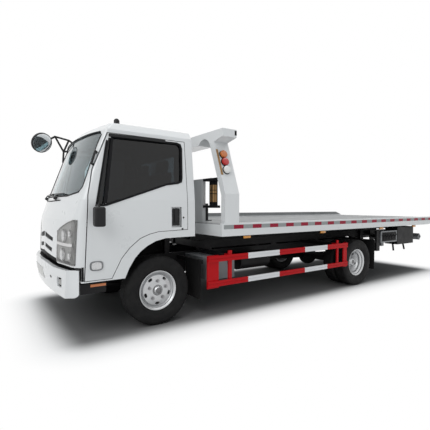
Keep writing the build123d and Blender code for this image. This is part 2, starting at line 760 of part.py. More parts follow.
# ---------------------------------------------------------------- underlift
boom_d = (-6120, -5200)
cross_bar_d = -6200
cross_bar_half = 900
cross_bar_size = 95
fork_bore_radius = 25
fork_bore_length = 250
with BuildPart() as underlift_boom:
    slab((at(boom_d[0]), at(boom_d[1])), (-boom_half_width, boom_half_width),
         (lift_pin_z - boom_half_height, lift_pin_z + boom_half_height))
    slab((at(boom_d[0]), at(lift_pin_d - 60)), (-boom_half_width + boom_wall, boom_half_width - boom_wall),
         (lift_pin_z - boom_half_height + boom_wall, lift_pin_z + boom_half_height - boom_wall),
         mode=Mode.SUBTRACT)
    lug_outer = boom_half_width + clear + lift_lug_thickness
    bar(lift_pin_radius, (at(lift_pin_d), -lug_outer, lift_pin_z), (at(lift_pin_d), lug_outer, lift_pin_z))
save(underlift_boom, "underlift_boom")

with BuildPart() as underlift_extension:
    inner_y = boom_half_width - boom_wall - gap
    inner_z = boom_half_height - boom_wall - gap
    slab((at(cross_bar_d), at(lift_pin_d - 70)), (-inner_y, inner_y),
         (lift_pin_z - inner_z, lift_pin_z + inner_z))
save(underlift_extension, "underlift_extension")

# The square bar stands on its edge; the extension ends in it.
with BuildPart() as fork_bar:
    with BuildSketch(Plane.XZ):
        with Locations((at(cross_bar_d), lift_pin_z)):
            Rectangle(cross_bar_size, cross_bar_size, rotation=45)
    extrude(amount=cross_bar_half, both=True)
    add(underlift_extension.part, mode=Mode.SUBTRACT)
    # Sockets for the lifting forks in both ends.
    for side in sides.values():
        bar(fork_bore_radius, (at(cross_bar_d), side * (cross_bar_half - fork_bore_length), lift_pin_z),
            (at(cross_bar_d), side * cross_bar_half, lift_pin_z), mode=Mode.SUBTRACT)
save(fork_bar, "fork_bar")

# ---------------------------------------------------------------- bed
beam_bottom_z = tilt_rail_top + tilt_pad_height + gap
beam_top_z = 1000
beam_half = 30
bed_beam_y = tilt_inner_y + tilt_rail_width / 2
bed_cross_count = 14
bed_cross_width = 60
bed_cross_wall = 6
deck_bottom = deck_top - deck_thickness
rail_inner_y = bed_half_width - side_rail_thickness
tail_slope_d = -5950
tail_drop = 50
kink_d = -5950
kink_rise = 40
slide_travel = 3200

with BuildPart() as bed_beams:
    for side in sides.values():
        slab((at(-6150), at(bed_front_d - 50)),
             (side * (bed_beam_y - beam_half), side * (bed_beam_y + beam_half)),
             (beam_bottom_z, beam_top_z))
save(bed_beams, "bed_beams")

with BuildPart() as bed_cross_members:
    first, last = bed_front_d - 100, -6050
    for i in range(bed_cross_count):
        place = first + (last - first) * i / (bed_cross_count - 1)
        top = deck_bottom - (tail_drop if place < tail_slope_d else 0)
        rear, front = at(place - bed_cross_width / 2), at(place + bed_cross_width / 2)
        slab((rear, front), (-rail_inner_y, rail_inner_y), (beam_top_z, top))
        slab((rear, front - bed_cross_wall), (-rail_inner_y, rail_inner_y),
             (beam_top_z + bed_cross_wall, top - bed_cross_wall), mode=Mode.SUBTRACT)
save(bed_cross_members, "bed_cross_members")

# The slide cylinder's rod ends in a block under one cross member.
with BuildPart() as slide_rod:
    rod_end_d = slide_barrel_d[0] - 150
    bar(slide_rod_radius, (at(rod_end_d), 0, slide_z), (at(slide_barrel_d[1] - 60), 0, slide_z))
    slab((at(rod_end_d - 40), at(rod_end_d + 40)), (-45, 45), (slide_z - 35, beam_top_z))
save(slide_rod, "slide_rod")

with BuildPart() as side_rails:
    for side in sides.values():
        with BuildSketch(Plane.XZ.offset(-side * bed_half_width)):
            with BuildLine():
                Polyline(
                    (at(bed_front_d), side_rail_bottom), (at(bed_front_d), side_rail_top),
                    (at(tail_slope_d), side_rail_top), (at(tail_d), side_rail_top),
                    (at(tail_d), side_rail_bottom + kink_rise), (at(kink_d), side_rail_bottom),
                    close=True,
                )
            make_face()
        extrude(amount=side * side_rail_thickness)
save(side_rails, "side_rails")

with BuildPart() as bed_sills:
    slab((at(bed_front_d - 40), at(bed_front_d)), (-rail_inner_y, rail_inner_y),
         (side_rail_bottom, deck_bottom))
    slab((at(tail_d + 10), at(tail_d + 50)), (-rail_inner_y, rail_inner_y),
         (side_rail_bottom + kink_rise, deck_bottom - tail_drop))
save(bed_sills, "bed_sills")

gantry_d = (-960, -746)      # rear and front of the gantry
kerb_width = 30
kerb_height = 67
load_front_d = -1300         # the loading area starts behind the winch
front_deck_top = deck_top - front_deck_step
with BuildPart() as deck:
    with BuildSketch(Plane.XZ):
        with BuildLine():
            Polyline(
                (at(bed_front_d), front_deck_top), (at(load_front_d), front_deck_top),
                (at(load_front_d), deck_top), (at(tail_slope_d), deck_top), (at(tail_d), deck_top - tail_drop),
                (at(tail_d), deck_bottom - tail_drop), (at(tail_slope_d), deck_bottom),
                (at(bed_front_d), deck_bottom), close=True,
            )
        make_face()
    extrude(amount=rail_inner_y, both=True)
    # A kerb along the right edge only.
    with BuildSketch(Plane.XZ.offset(bed_half_width - kerb_width)):
        with BuildLine():
            Polyline(
                (at(gantry_d[0] - 2), side_rail_top), (at(gantry_d[0] - 2), side_rail_top + kerb_height),
                (at(tail_d + 200), side_rail_top + kerb_height), (at(tail_d), side_rail_top + 5),
                (at(tail_d), side_rail_top), close=True,
            )
        make_face()
    extrude(amount=kerb_width)
save(deck, "deck")

# ---------------------------------------------------------------- gantry and winch
post_thickness = 80
post_knee_z = 1485
gantry_top = 2270
post_top = (bed_half_width - 315, gantry_top - 200)      # inner corner of a leaning post's top
post_top_outer = (bed_half_width - 215, gantry_top - 200)
ear_y = bed_half_width - 58  # the beam's ends
ear_bottom = gantry_top - 95
ear_root = (post_top_outer[0] - 25, gantry_top - 135)
arch_mid = (post_top[0] - 110, gantry_top - 80)          # the beam's underside beside a post
arch_end = (post_top[0] - 280, gantry_top - 140)

with BuildPart() as gantry_posts:
    for side in sides.values():
        with BuildSketch(Plane.YZ.offset(at(gantry_d[0]))):
            with BuildLine():
                Polyline(
                    (side * bed_half_width, side_rail_top), (side * bed_half_width, post_knee_z),
                    (side * post_top_outer[0], post_top_outer[1]), (side * post_top[0], post_top[1]),
                    (side * (bed_half_width - post_thickness), post_knee_z - 20),
                    (side * (bed_half_width - post_thickness), side_rail_top), close=True,
                )
            make_face()
        extrude(amount=gantry_d[1] - gantry_d[0])
save(gantry_posts, "gantry_posts")

with BuildPart() as gantry_beam:
    with BuildSketch(Plane.YZ.offset(at(gantry_d[0]))):
        with BuildLine():
            Polyline(
                (-post_top_outer[0], post_top[1]), (-ear_root[0], ear_root[1]), (-ear_y, ear_bottom),
                (-ear_y, gantry_top), (ear_y, gantry_top), (ear_y, ear_bottom), ear_root,
                (post_top_outer[0], post_top[1]), (post_top[0], post_top[1]),
            )
            ThreePointArc(post_top, arch_mid, arch_end)
            Line(arch_end, (-arch_end[0], arch_end[1]))
            ThreePointArc((-arch_end[0], arch_end[1]), (-arch_mid[0], arch_mid[1]), (-post_top[0], post_top[1]))
            Line((-post_top[0], post_top[1]), (-post_top_outer[0], post_top[1]))
        make_face()
    extrude(amount=gantry_d[1] - gantry_d[0])
save(gantry_beam, "gantry_beam")

# Three round lamps on each leaning post, on the outer face.
lamp_radius = 47
lamp_depth = 45
lamp_d = -853
lamp_drops = (100, 185, 285)  # below the posts' tops
lean = Vector(0, post_top_outer[0] - bed_half_width, post_top_outer[1] - post_knee_z)
with BuildPart() as gantry_lamps:
    for side in sides.values():
        for drop in lamp_drops:
            lamp_z = post_top[1] - drop
            share = (lamp_z - post_knee_z) / lean.Z
            seat = Vector(at(lamp_d), side * (bed_half_width + lean.Y * share), lamp_z)
            out = Vector(0, side * lean.Z, -lean.Y).normalized()
            bar(lamp_radius, seat, seat + out * lamp_depth)
save(gantry_lamps, "gantry_lamps")

wall_d = (-800, -750)
wall_half_width = 660
wall_top = 1690
with BuildPart() as front_wall:
    slab((at(wall_d[0]), at(wall_d[1])), (-wall_half_width, wall_half_width), (front_deck_top, wall_top))
save(front_wall, "front_wall")

winch_d = -1000
winch_z = 1265
winch_half = 210
winch_shaft_radius = 20
winch_plate = 12
with BuildPart() as winch_frame:
    slab((at(winch_d - 160), at(winch_d + 160)), (-280, 280),
         (front_deck_top, front_deck_top + winch_plate))
    for side in sides.values():
        slab((at(winch_d - 130), at(winch_d + 130)), (side * winch_half, side * (winch_half + 20)),
             (front_deck_top + winch_plate, winch_z + 110))
    bar(60, (at(winch_d), -winch_half - 20, winch_z), (at(winch_d), -winch_half - 160, winch_z))
    bar(winch_shaft_radius + fit, (at(winch_d), -winch_half - 20, winch_z),
        (at(winch_d), winch_half + 20, winch_z), mode=Mode.SUBTRACT)
save(winch_frame, "winch_frame")

with BuildPart() as winch_drum:
    bar(winch_shaft_radius, (at(winch_d), -winch_half - 19, winch_z),
        (at(winch_d), winch_half + 20, winch_z))
    bar(70, (at(winch_d), -190, winch_z), (at(winch_d), 190, winch_z))
    for y in (-200, 180):
        bar(105, (at(winch_d), y, winch_z), (at(winch_d), y + 20, winch_z))
save(winch_drum, "winch_drum")

# The valve block stands between two bars on the wall's left end.
valve_radius = 48
valve_y = wall_half_width + 110
valve_d = -850
valve_z = (1345, 1660)
valve_bar = 30
with BuildPart() as valve_block:
    bar(valve_radius, (at(valve_d), valve_y, valve_z[0]), (at(valve_d), valve_y, valve_z[1]))
    for z_range in ((valve_z[0] - valve_bar, valve_z[0]), (valve_z[1], valve_z[1] + valve_bar)):
        slab((at(valve_d - 30), at(wall_d[1] - 10)), (wall_half_width, valve_y + 80), z_range)
save(valve_block, "valve_block")

# ---------------------------------------------------------------- cab
# columns: height, half width, end of the flat side, corner x, corner y, nose on the centre line, back
cab_sections = (
    (588, cab_half_width, 815, 925, 880, 1022, cab_rear_d),
    (790, cab_half_width, 815, 925, 880, 1022, cab_rear_d),
    (1195, cab_half_width, 790, 912, 880, 1006, cab_rear_d),
    (1400, 995, 765, 842, 888, 938, cab_rear_d),
    (2125, 910, 545, 580, 862, 680, cab_rear_d),
    (2195, 878, 465, 520, 800, 612, cab_rear_d + 10),
    (2222, 785, 330, 400, 670, 470, cab_rear_d + 90),
)
step_front_d = 845           # the foot wells end behind the bumper
belly_half_width = 955       # wheels and engine reach up under the floor this far out
well_front_d = 500
nose_bottom = 745
nose_undercut_d = 950        # ahead of it the middle of the nose is cut higher, over the bumper's crown
nose_undercut = ((550, 745), (533, 789), (0, 826))


def cab_form(inset, floor=-20):
    """The cab's whole outer form, drawn in by `inset`, with its bottom raised by `floor`."""
    with BuildPart() as form:
        for i, (z, half, flat, corner_d, corner_y, nose, back) in enumerate(cab_sections):
            lift = floor if i == 0 else (-inset if i >= len(cab_sections) - 2 else 0)
            with BuildSketch(Plane.XY.offset(z + lift)):
                with BuildLine():
                    left, right = half - inset, inset - half
                    front_y = corner_y - inset * 0.6
                    turn = at(flat - inset * 0.6)
                    Line((turn, right), (at(back + inset), right))
                    Line((at(back + inset), right), (at(back + inset), left))
                    Line((at(back + inset), left), (turn, left))
                    TangentArc((turn, left), (at(corner_d - inset), front_y), tangent=(1, 0))
                    ThreePointArc((at(corner_d - inset), front_y), (at(nose - inset), 0),
                                  (at(corner_d - inset), -front_y))
                    TangentArc((turn, right), (at(corner_d - inset), -front_y), tangent=(1, 0))
                make_face()
        loft(ruled=True)
    return form.part


def side_prism(points, y_range):
    """An outline seen from the side, in distances and heights, cut through a span of Y."""
    with BuildPart() as prism:
        with BuildSketch(Plane.XZ.offset(-y_range[0])):
            with BuildLine():
                Polyline(*((at(d), z) for d, z in points), close=True)
            make_face()
        extrude(amount=y_range[0] - y_range[1])
    return prism.part


def front_prism(points, d_range):
    """An outline seen from the front, in Y and height, cut through a span of distances."""
    with BuildPart() as prism:
        with BuildSketch(Plane.YZ.offset(at(d_range[0]))):
            with BuildLine():
                Polyline(*points, close=True)
            make_face()
        extrude(amount=d_range[1] - d_range[0])
    return prism.part


outer_form = cab_form(0, floor=0)
inner_form = cab_form(cab_wall)

# Door outlines: the opening, and the panel a clearance smaller.
door_front = ((822, 600), (782, 1440), (729, 1697), (568, 2085))
door_rear_d = -335
flare = ((548, 600), (446, 797), (360, 898), (247, 988), (140, 1030), (35, 1053), (door_rear_d, 1064))
door_top_rear_z = 2085


def door_outline(shrink, front_shrink):
    """The door seen from the side, `shrink` smaller all round and `front_shrink` in front."""
    front = [(d - front_shrink, z) for d, z in door_front]
    front[0] = (front[0][0], front[0][1] + shrink)
    front[-1] = (front[-1][0], front[-1][1] - shrink)
    rear = [(door_rear_d + shrink, door_top_rear_z - shrink)]
    below = [(d + shrink * 0.7, z + shrink * 0.9) for d, z in reversed(flare)]
    below[0] = (door_rear_d + shrink, flare[-1][1] + shrink)
    return front + rear + below


main_window = ((600, 1356), (505, 2035), (-228, 2046), (-264, 2034), (-277, 1998), (-262, 1662), (-252, 1622),
               (-215, 1606), (-70, 1585))
quarter_window = ((688, 1352), (632, 1352), (528, 2030), (556, 2030))
screen_half = ((582, 1445), (831, 1480), (873, 1534), (845, 1770), (835, 1970), (845, 2070), (800, 2108),
               (600, 2118))
screen = (*screen_half, *((-y, z) for y, z in reversed(screen_half)))
back_window = ((-560, 1520), (-560, 1960), (560, 1960), (560, 1520))

# The door's hinge axis runs beside its front edge, close under the skin, and leans with it.
door_seam = 10               # gap in front of the door
hinge_setback = 12           # from the door's front edge and from its skin to the axis
hinge_radius = 4
hinge_eye_radius = 7.5
hinge_heights = (760, 1150)
hinge_half_height = 20
hinge_pocket = 14            # reach of the door's pocket behind the axis
hinge_arm_depth = 50         # the arm goes this far inward,
hinge_arm_reach = 44         # then so far forward behind the pillar
hinge_y = cab_half_width - hinge_setback


def hinge_point(z, side):
    """A point of a door's hinge axis at a height."""
    (low_d, low_z), (high_d, high_z) = door_front[:2]
    seam_d = low_d + (high_d - low_d) * (z - low_z) / (high_z - low_z)
    return (at(seam_d - door_seam - hinge_setback), side * hinge_y, z)


def hinge_arms(side):
    """Goose-neck arms on the pillar, which carry the door's pins."""
    for z in hinge_heights:
        x, y, _ = hinge_point(z, side)
        z_range = (z - hinge_half_height, z + hinge_half_height)
        bar(hinge_eye_radius, (x, y, z_range[0]), (x, y, z_range[1]))
        inner_y = y - side * hinge_arm_depth
        slab((x - hinge_eye_radius, x + hinge_eye_radius), (y, inner_y), z_range)
        slab((x - hinge_eye_radius, x + hinge_arm_reach),
             (inner_y, side * (cab_half_width - cab_wall + 2)), z_range)
        bar(hinge_radius + fit, hinge_point(z - 40, side), hinge_point(z + 40, side), mode=Mode.SUBTRACT)


def hinge_pins(side):
    """Pockets in the door's front edge, each crossed by a pin."""
    for z in hinge_heights:
        x, y, _ = hinge_point(z, side)
        half = hinge_half_height + 5
        slab((x - hinge_pocket, x + 40), (y + side * 9, y - side * 60), (z - half, z + half),
             mode=Mode.SUBTRACT)
        bar(hinge_radius, hinge_point(z - half - 5, side), hinge_point(z + half + 5, side))


arch = ((-500, 500), (-500, cab_tunnel_z), (-49, 980), (68, 955), (168, 908), (245, 853), (309, 784),
        (368, 690), (416, 583), (416, 500))
nose_cut = ((step_front_d, 500), (step_front_d, nose_bottom - 8), (nose_undercut_d, nose_bottom),
            (1200, nose_bottom), (1200, 500))
panel_outline = ((842, 500), (842, 1200), (812, 1400), (1200, 1400), (1200, 500))
lamp_outline = ((553, 758), (553, 1077), (644, 1117), (809, 1172), (932, 1200), (1040, 1195), (1040, 758))
lamp_side = ((897, 745), (872, 1200), (1200, 1200), (1200, 745))
lamp_proud = 4
# Dark slots in the front panel, one of each on either side of the middle.
slots = (((10, 1044), (400, 994), (400, 952), (10, 984)), ((35, 917), (386, 880), (367, 836), (42, 868)))
slot_depth = 14
screen_depth = 15            # from the skin to the glass
pane_depth = 18
glass_thickness = 6
lamp_depth_in = 30

with BuildPart() as cavity:
    add(cab_form(cab_wall, floor=cab_wall))
    slab((at(-500), at(well_front_d + 40)), (-1100, 1100), (500, cab_tunnel_z + 35), mode=Mode.SUBTRACT)
    slab((at(400), at(1200)), (-600, 600), (500, cab_floor_z + 40), mode=Mode.SUBTRACT)
    slab((at(step_front_d - cab_wall), at(1200)), (-1100, 1100), (500, nose_bottom + 55),
         mode=Mode.SUBTRACT)
    slab((at(nose_undercut_d - 15), at(1200)), (-1100, 1100), (500, nose_undercut[-1][1] + 20),
         mode=Mode.SUBTRACT)

with BuildPart() as panel_zone:
    add(side_prism(panel_outline, (-1100, 1100)))
    add(inner_form, mode=Mode.SUBTRACT)

with BuildPart() as door_zones:
    for side in sides.values():
        add(side_prism(door_outline(0, 0), (side * 500, side * 1100)))
    add(cab_form(door_wall + 15), mode=Mode.SUBTRACT)


def underside(mode):
    """What the wheels, engine, frame and bumper leave free under the cab."""
    slab((at(-500), at(well_front_d)), (-belly_half_width, belly_half_width), (500, cab_tunnel_z), mode=mode)
    slab((at(400), at(1200)), (-560, 560), (500, cab_floor_z), mode=mode)
    add(side_prism(arch, (-1100, 1100)), mode=mode)
    add(side_prism(nose_cut, (-1100, 1100)), mode=mode)
    middle = (*nose_undercut, *((-y, z) for y, z in reversed(nose_undercut[:-1])))
    add(front_prism(((550, 500), *middle, (-550, 500)), (nose_undercut_d, 1200)), mode=mode)


with BuildPart() as cab_shell:
    add(outer_form)
    add(cavity.part, mode=Mode.SUBTRACT)
    underside(Mode.SUBTRACT)
    add(panel_zone.part, mode=Mode.SUBTRACT)
    add(door_zones.part, mode=Mode.SUBTRACT)
    add(front_prism(screen, (450, 1200)), mode=Mode.SUBTRACT)
    add(front_prism(back_window, (-500, -300)), mode=Mode.SUBTRACT)
    for side in sides.values():
        hinge_arms(side)
    # Plates and pins on which the cab tips.
    for side in sides.values():
        for edge in (-1, 1):
            inside_y = side * cab_lug_y + edge * (cab_lug_thickness / 2 + 8)
            span = (inside_y, inside_y + edge * 20)
            slab((at(cab_pin_d - cab_lug_radius), at(cab_pin_d + cab_lug_radius)), span,
                 (cab_pin_z, cab_floor_z + 15))
            bar(cab_lug_radius, (at(cab_pin_d), span[0], cab_pin_z), (at(cab_pin_d), span[1], cab_pin_z))
        reach = cab_lug_thickness / 2 + 28
        bar(cab_pin_radius, (at(cab_pin_d), side * cab_lug_y - reach, cab_pin_z),
            (at(cab_pin_d), side * cab_lug_y + reach, cab_pin_z))
save(cab_shell, "cab_shell")

with BuildPart() as lamp_pockets:
    for side in sides.values():
        add(front_prism([(side * y, z) for y, z in lamp_outline], (800, 1200)))
    add(side_prism(lamp_side, (-1100, 1100)), mode=Mode.INTERSECT)
    add(cab_form(lamp_depth_in), mode=Mode.SUBTRACT)

with BuildPart() as slot_zones:
    for side in sides.values():
        for outline in slots:
            add(front_prism([(side * y, z) for y, z in outline], (800, 1200)))
    add(cab_form(slot_depth), mode=Mode.SUBTRACT)

with BuildPart() as front_panel:
    add(outer_form)
    add(inner_form, mode=Mode.SUBTRACT)
    add(side_prism(panel_outline, (-1100, 1100)), mode=Mode.INTERSECT)
    underside(Mode.SUBTRACT)
    add(lamp_pockets.part, mode=Mode.SUBTRACT)
    add(slot_zones.part, mode=Mode.SUBTRACT)
save(front_panel, "front_panel")

with BuildPart() as headlamps:
    add(cab_form(-lamp_proud))
    add(lamp_pockets.part, mode=Mode.INTERSECT)
save(headlamps, "headlamps")

with BuildPart() as screen_zones:
    add(front_prism(screen, (450, 1200)))
    add(front_prism(back_window, (-500, -300)))

with BuildPart() as cab_glass:
    add(cab_form(screen_depth))
    add(cab_form(screen_depth + glass_thickness), mode=Mode.SUBTRACT)
    add(screen_zones.part, mode=Mode.INTERSECT)
    add(door_zones.part, mode=Mode.SUBTRACT)
save(cab_glass, "cab_glass")

handle_d = (-250, -124)
handle_z = (1097, 1326)
handle_depth = 22
paddle_margin = 18
paddle_thickness = 12
mirror_d = (652, 755)
mirror_y = (1060, 1160)
mirror_z = (1137, 1328)
mirror_arm_z = 1340
for name, side in sides.items():
    handle_y = side * (cab_half_width - handle_depth)
    with BuildPart() as door:
        add(outer_form)
        add(cab_form(door_wall), mode=Mode.SUBTRACT)
        add(side_prism(door_outline(clear, door_seam), (side * 500, side * 1100)), mode=Mode.INTERSECT)
        for window in (main_window, quarter_window):
            add(side_prism(window, (side * 500, side * 1100)), mode=Mode.SUBTRACT)
        slab([at(d) for d in handle_d], (handle_y, side * (cab_half_width + 20)), handle_z,
             mode=Mode.SUBTRACT)
        hinge_pins(side)
    save(door, f"door_{name}")

    with BuildPart() as window_zones:
        add(side_prism(main_window, (side * 500, side * 1100)))
        add(side_prism(quarter_window, (side * 500, side * 1100)))

    with BuildPart() as door_glass:
        add(cab_form(pane_depth))
        add(cab_form(pane_depth + glass_thickness), mode=Mode.SUBTRACT)
        add(window_zones.part, mode=Mode.INTERSECT)
    save(door_glass, f"door_glass_{name}")

    with BuildPart() as door_mirror:
        slab([at(d) for d in mirror_d], [side * y for y in mirror_y], mirror_z)
        fillet(door_mirror.edges(), 22)
        elbow_d = sum(mirror_d) / 2
        bar(9, (at(elbow_d), side * 1110, mirror_z[1] - 20), (at(elbow_d), side * 1100, mirror_arm_z + 5))
        bar(9, (at(elbow_d), side * 1104, mirror_arm_z), (at(elbow_d), side * 996.8, mirror_arm_z))
        # The handle's paddle, in the pocket behind the window.
        slab((at(handle_d[0] + paddle_margin), at(handle_d[1] - paddle_margin)),
             (handle_y, handle_y + side * paddle_thickness),
             (handle_z[0] + paddle_margin, handle_z[1] - paddle_margin))
    save(door_mirror, f"door_mirror_{name}")

dashboard_d = (690, 1200)
dashboard_half_width = cab_half_width - 100
dashboard_z = (1060, 1385)
with BuildPart() as dashboard:
    add(cab_form(cab_wall + gap))
    slab([at(d) for d in dashboard_d], (-dashboard_half_width, dashboard_half_width), dashboard_z,
         mode=Mode.INTERSECT)
save(dashboard, "dashboard")

seat_floor = cab_tunnel_z + 35
with BuildPart() as seats:
    for y_range in ((220, 720), (-760, 130)):
        slab((at(-150), at(330)), y_range, (seat_floor, seat_floor + 150))
        with BuildSketch(Plane.XZ.offset(-y_range[0])):
            with BuildLine():
                Polyline((at(-200), seat_floor), (at(-90), seat_floor), (at(-150), seat_floor + 160),
                         (at(-250), seat_floor + 740), (at(-340), seat_floor + 740), close=True)
            make_face()
        extrude(amount=y_range[0] - y_range[1])
save(seats, "seats")

wheel_centre = (430, 465, 1390)
column_foot = (757, 465, cab_floor_z + 40 + gap)
with BuildPart() as steering_wheel:
    centre = Vector(at(wheel_centre[0]), *wheel_centre[1:])
    foot = Vector(at(column_foot[0]), *column_foot[1:])
    axis_plane = Plane(origin=centre, z_dir=foot - centre)
    bar(22, centre, foot - (foot - centre).normalized() * 12.7)
    with Locations(axis_plane):
        Torus(215, 14)
        for angle in (0, 120, 240):
            with Locations(Rotation(0, 0, angle)):
                Box(215, 34, 12, align=(Align.MIN, Align.CENTER, Align.CENTER))
save(steering_wheel, "steering_wheel")

with BuildPart() as round_mirror:
    head, face = Vector(at(905), -900, 2210), Vector(-0.35, 0.85, -0.40).normalized()
    bar(140, head - face * 30, head)
    # columns: distance, y, z of the bracket's joints
    joints = {
        "head": (880, -925, 2225), "top": (735, -935, 2325), "middle": (550, -935, 2290),
        "elbow": (620, -945, 2120), "foot": (633.9, -918.6, 1967), "roof": (370, -901, 2165),
    }
    points = {key: (at(d), y, z) for key, (d, y, z) in joints.items()}
    for start, end in (("head", "top"), ("top", "middle"), ("middle", "roof"), ("middle", "elbow"),
                       ("top", "elbow"), ("elbow", "foot"), ("elbow", "roof")):
        bar(8, points[start], points[end])
    for key in points:
        with Locations(points[key]):
            Sphere(8)
save(round_mirror, "round_mirror")
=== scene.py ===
"""Finish of a flatbed tow truck, put together from the ladder frame up.

Metres, in the truck's own frame: +X forward, +Y left, +Z up, the origin on the ground.
"""

import json
import math

import bmesh
import bpy
from mathutils import Matrix, Vector
from mathutils.bvhtree import BVHTree

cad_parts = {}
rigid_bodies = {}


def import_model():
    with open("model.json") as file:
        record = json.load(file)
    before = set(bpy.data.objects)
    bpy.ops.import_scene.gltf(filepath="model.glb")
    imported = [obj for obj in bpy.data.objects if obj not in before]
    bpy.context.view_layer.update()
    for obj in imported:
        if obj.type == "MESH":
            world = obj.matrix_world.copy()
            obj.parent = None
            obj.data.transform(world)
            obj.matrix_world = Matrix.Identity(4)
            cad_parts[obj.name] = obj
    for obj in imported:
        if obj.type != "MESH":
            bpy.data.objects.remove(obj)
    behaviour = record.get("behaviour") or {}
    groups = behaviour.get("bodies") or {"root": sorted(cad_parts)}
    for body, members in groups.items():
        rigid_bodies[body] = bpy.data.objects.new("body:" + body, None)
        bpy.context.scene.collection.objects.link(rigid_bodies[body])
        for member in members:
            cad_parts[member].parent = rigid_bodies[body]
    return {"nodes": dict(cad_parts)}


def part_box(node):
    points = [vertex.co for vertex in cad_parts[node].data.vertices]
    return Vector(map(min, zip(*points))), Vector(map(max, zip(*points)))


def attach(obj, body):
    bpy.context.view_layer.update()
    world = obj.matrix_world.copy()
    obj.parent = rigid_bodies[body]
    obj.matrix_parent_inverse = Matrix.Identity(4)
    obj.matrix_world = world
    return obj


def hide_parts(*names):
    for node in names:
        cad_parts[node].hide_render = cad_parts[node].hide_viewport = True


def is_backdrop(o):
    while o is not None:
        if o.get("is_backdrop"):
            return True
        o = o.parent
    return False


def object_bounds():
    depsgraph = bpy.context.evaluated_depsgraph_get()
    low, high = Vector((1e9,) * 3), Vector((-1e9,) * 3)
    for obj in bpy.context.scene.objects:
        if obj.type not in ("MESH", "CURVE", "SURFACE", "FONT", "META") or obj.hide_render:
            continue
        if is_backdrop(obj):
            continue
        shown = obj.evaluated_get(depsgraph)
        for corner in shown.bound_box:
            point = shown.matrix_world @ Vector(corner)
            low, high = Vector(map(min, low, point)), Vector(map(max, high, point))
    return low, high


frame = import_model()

nodes = frame["nodes"]
for leftover in [o for o in bpy.data.objects if o.name in ("Cube", "Light", "Camera")]:
    bpy.data.objects.remove(leftover)
cad_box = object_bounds()

# ---- camera, floor and light
# A camera at standing height ahead of the cab's left corner, a pale studio floor with a painted shadow under
# the truck, and a white room that lights the truck softly from all round, with a broad lamp in front and one
# above.


def span(name):
    """The lowest and the highest corner of a CAD piece's box."""
    return [Vector(corner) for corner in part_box(name)]


front_axle = sum(span("front_tyre_left"), Vector()) / 2
front_axle.y = 0
camera_place = Vector((1.646, 4.383, 1.338))      # from the front axle's middle, on the ground
camera_yaw = math.radians(235.09)
camera_pitch = math.radians(-1.52)
camera_roll = math.radians(0.18)

camera_data = bpy.data.cameras.new("camera")
camera_data.sensor_width = 36
camera_data.lens = 28.36
camera = bpy.data.objects.new("camera", camera_data)
bpy.context.scene.collection.objects.link(camera)
camera.matrix_world = (
    Matrix.Translation((front_axle.x + camera_place.x, camera_place.y, camera_place.z))
    @ Matrix.Rotation(camera_yaw - math.pi / 2, 4, "Z")
    @ Matrix.Rotation(camera_pitch + math.pi / 2, 4, "X") @ Matrix.Rotation(camera_roll, 4, "Z"))
bpy.context.scene.camera = camera
bpy.context.scene.view_settings.view_transform = "Standard"


def feed(tree, node, inputs):
    """Gives a node's inputs a value, a link from a socket, or a link from another node's first output."""
    for key, value in inputs.items():
        if isinstance(value, bpy.types.Node):
            value = value.outputs[0]
        if isinstance(value, bpy.types.NodeSocket):
            tree.links.new(value, node.inputs[key])
        else:
            node.inputs[key].default_value = value


def place(tree, kind, inputs=None, **settings):
    """A shader node with its settings, and its inputs fed."""
    made = tree.nodes.new("ShaderNode" + kind)
    for key, value in settings.items():
        setattr(made, key, value)
    feed(tree, made, inputs or {})
    return made


def reckon(tree, operation, *values, **settings):
    """A maths node on some values."""
    return place(tree, "Math", dict(enumerate(values)), operation=operation, **settings)


def blend(tree, share, first, second):
    """A colour that goes over from the first to the second by a share."""
    return place(tree, "Mix", {0: share, 6: first, 7: second}, data_type="RGBA").outputs[2]


def ramp(tree, share, low, high, low_at=0.0, high_at=1.0):
    """Two colours with a blend between them, from one share to another."""
    made = place(tree, "ValToRGB", {"Fac": share})
    for stop, colour, position in zip(made.color_ramp.elements, (low, high), (low_at, high_at)):
        stop.position = position
        stop.color = (*colour, 1)
    return made


def own_space(tree):
    """Places measured in the object's own axes."""
    return place(tree, "TexCoord").outputs["Object"]


def looked_at(tree):
    """1 where something is seen, straight, mirrored or through glass; 0 where it only gives light."""
    rays = place(tree, "LightPath")
    seen = reckon(tree, "MAXIMUM", rays.outputs["Is Camera Ray"], rays.outputs["Is Glossy Ray"])
    return reckon(tree, "MAXIMUM", seen, rays.outputs["Is Transmission Ray"])


def finish(name):
    """A new material, its node tree and its Principled shader."""
    material = bpy.data.materials.new(name)
    material.use_nodes = True
    return material, material.node_tree, material.node_tree.nodes["Principled BSDF"]


floor_size = 60
floor_mesh = bpy.data.meshes.new("studio_floor")
floor_mesh.from_pydata([(x * floor_size, y * floor_size, 0) for x, y in ((-1, -1), (1, -1), (1, 1), (-1, 1))],
                       [], [(0, 1, 2, 3)])
floor = bpy.data.objects.new("studio_floor", floor_mesh)
bpy.context.scene.collection.objects.link(floor)
floor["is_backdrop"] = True
floor_finish, tree, shader = finish("studio_floor")
grain = place(tree, "TexNoise", {"Scale": 3.0, "Detail": 4.0})
tone = ramp(tree, grain, (0.93, 0.93, 0.93), (0.96, 0.96, 0.96))
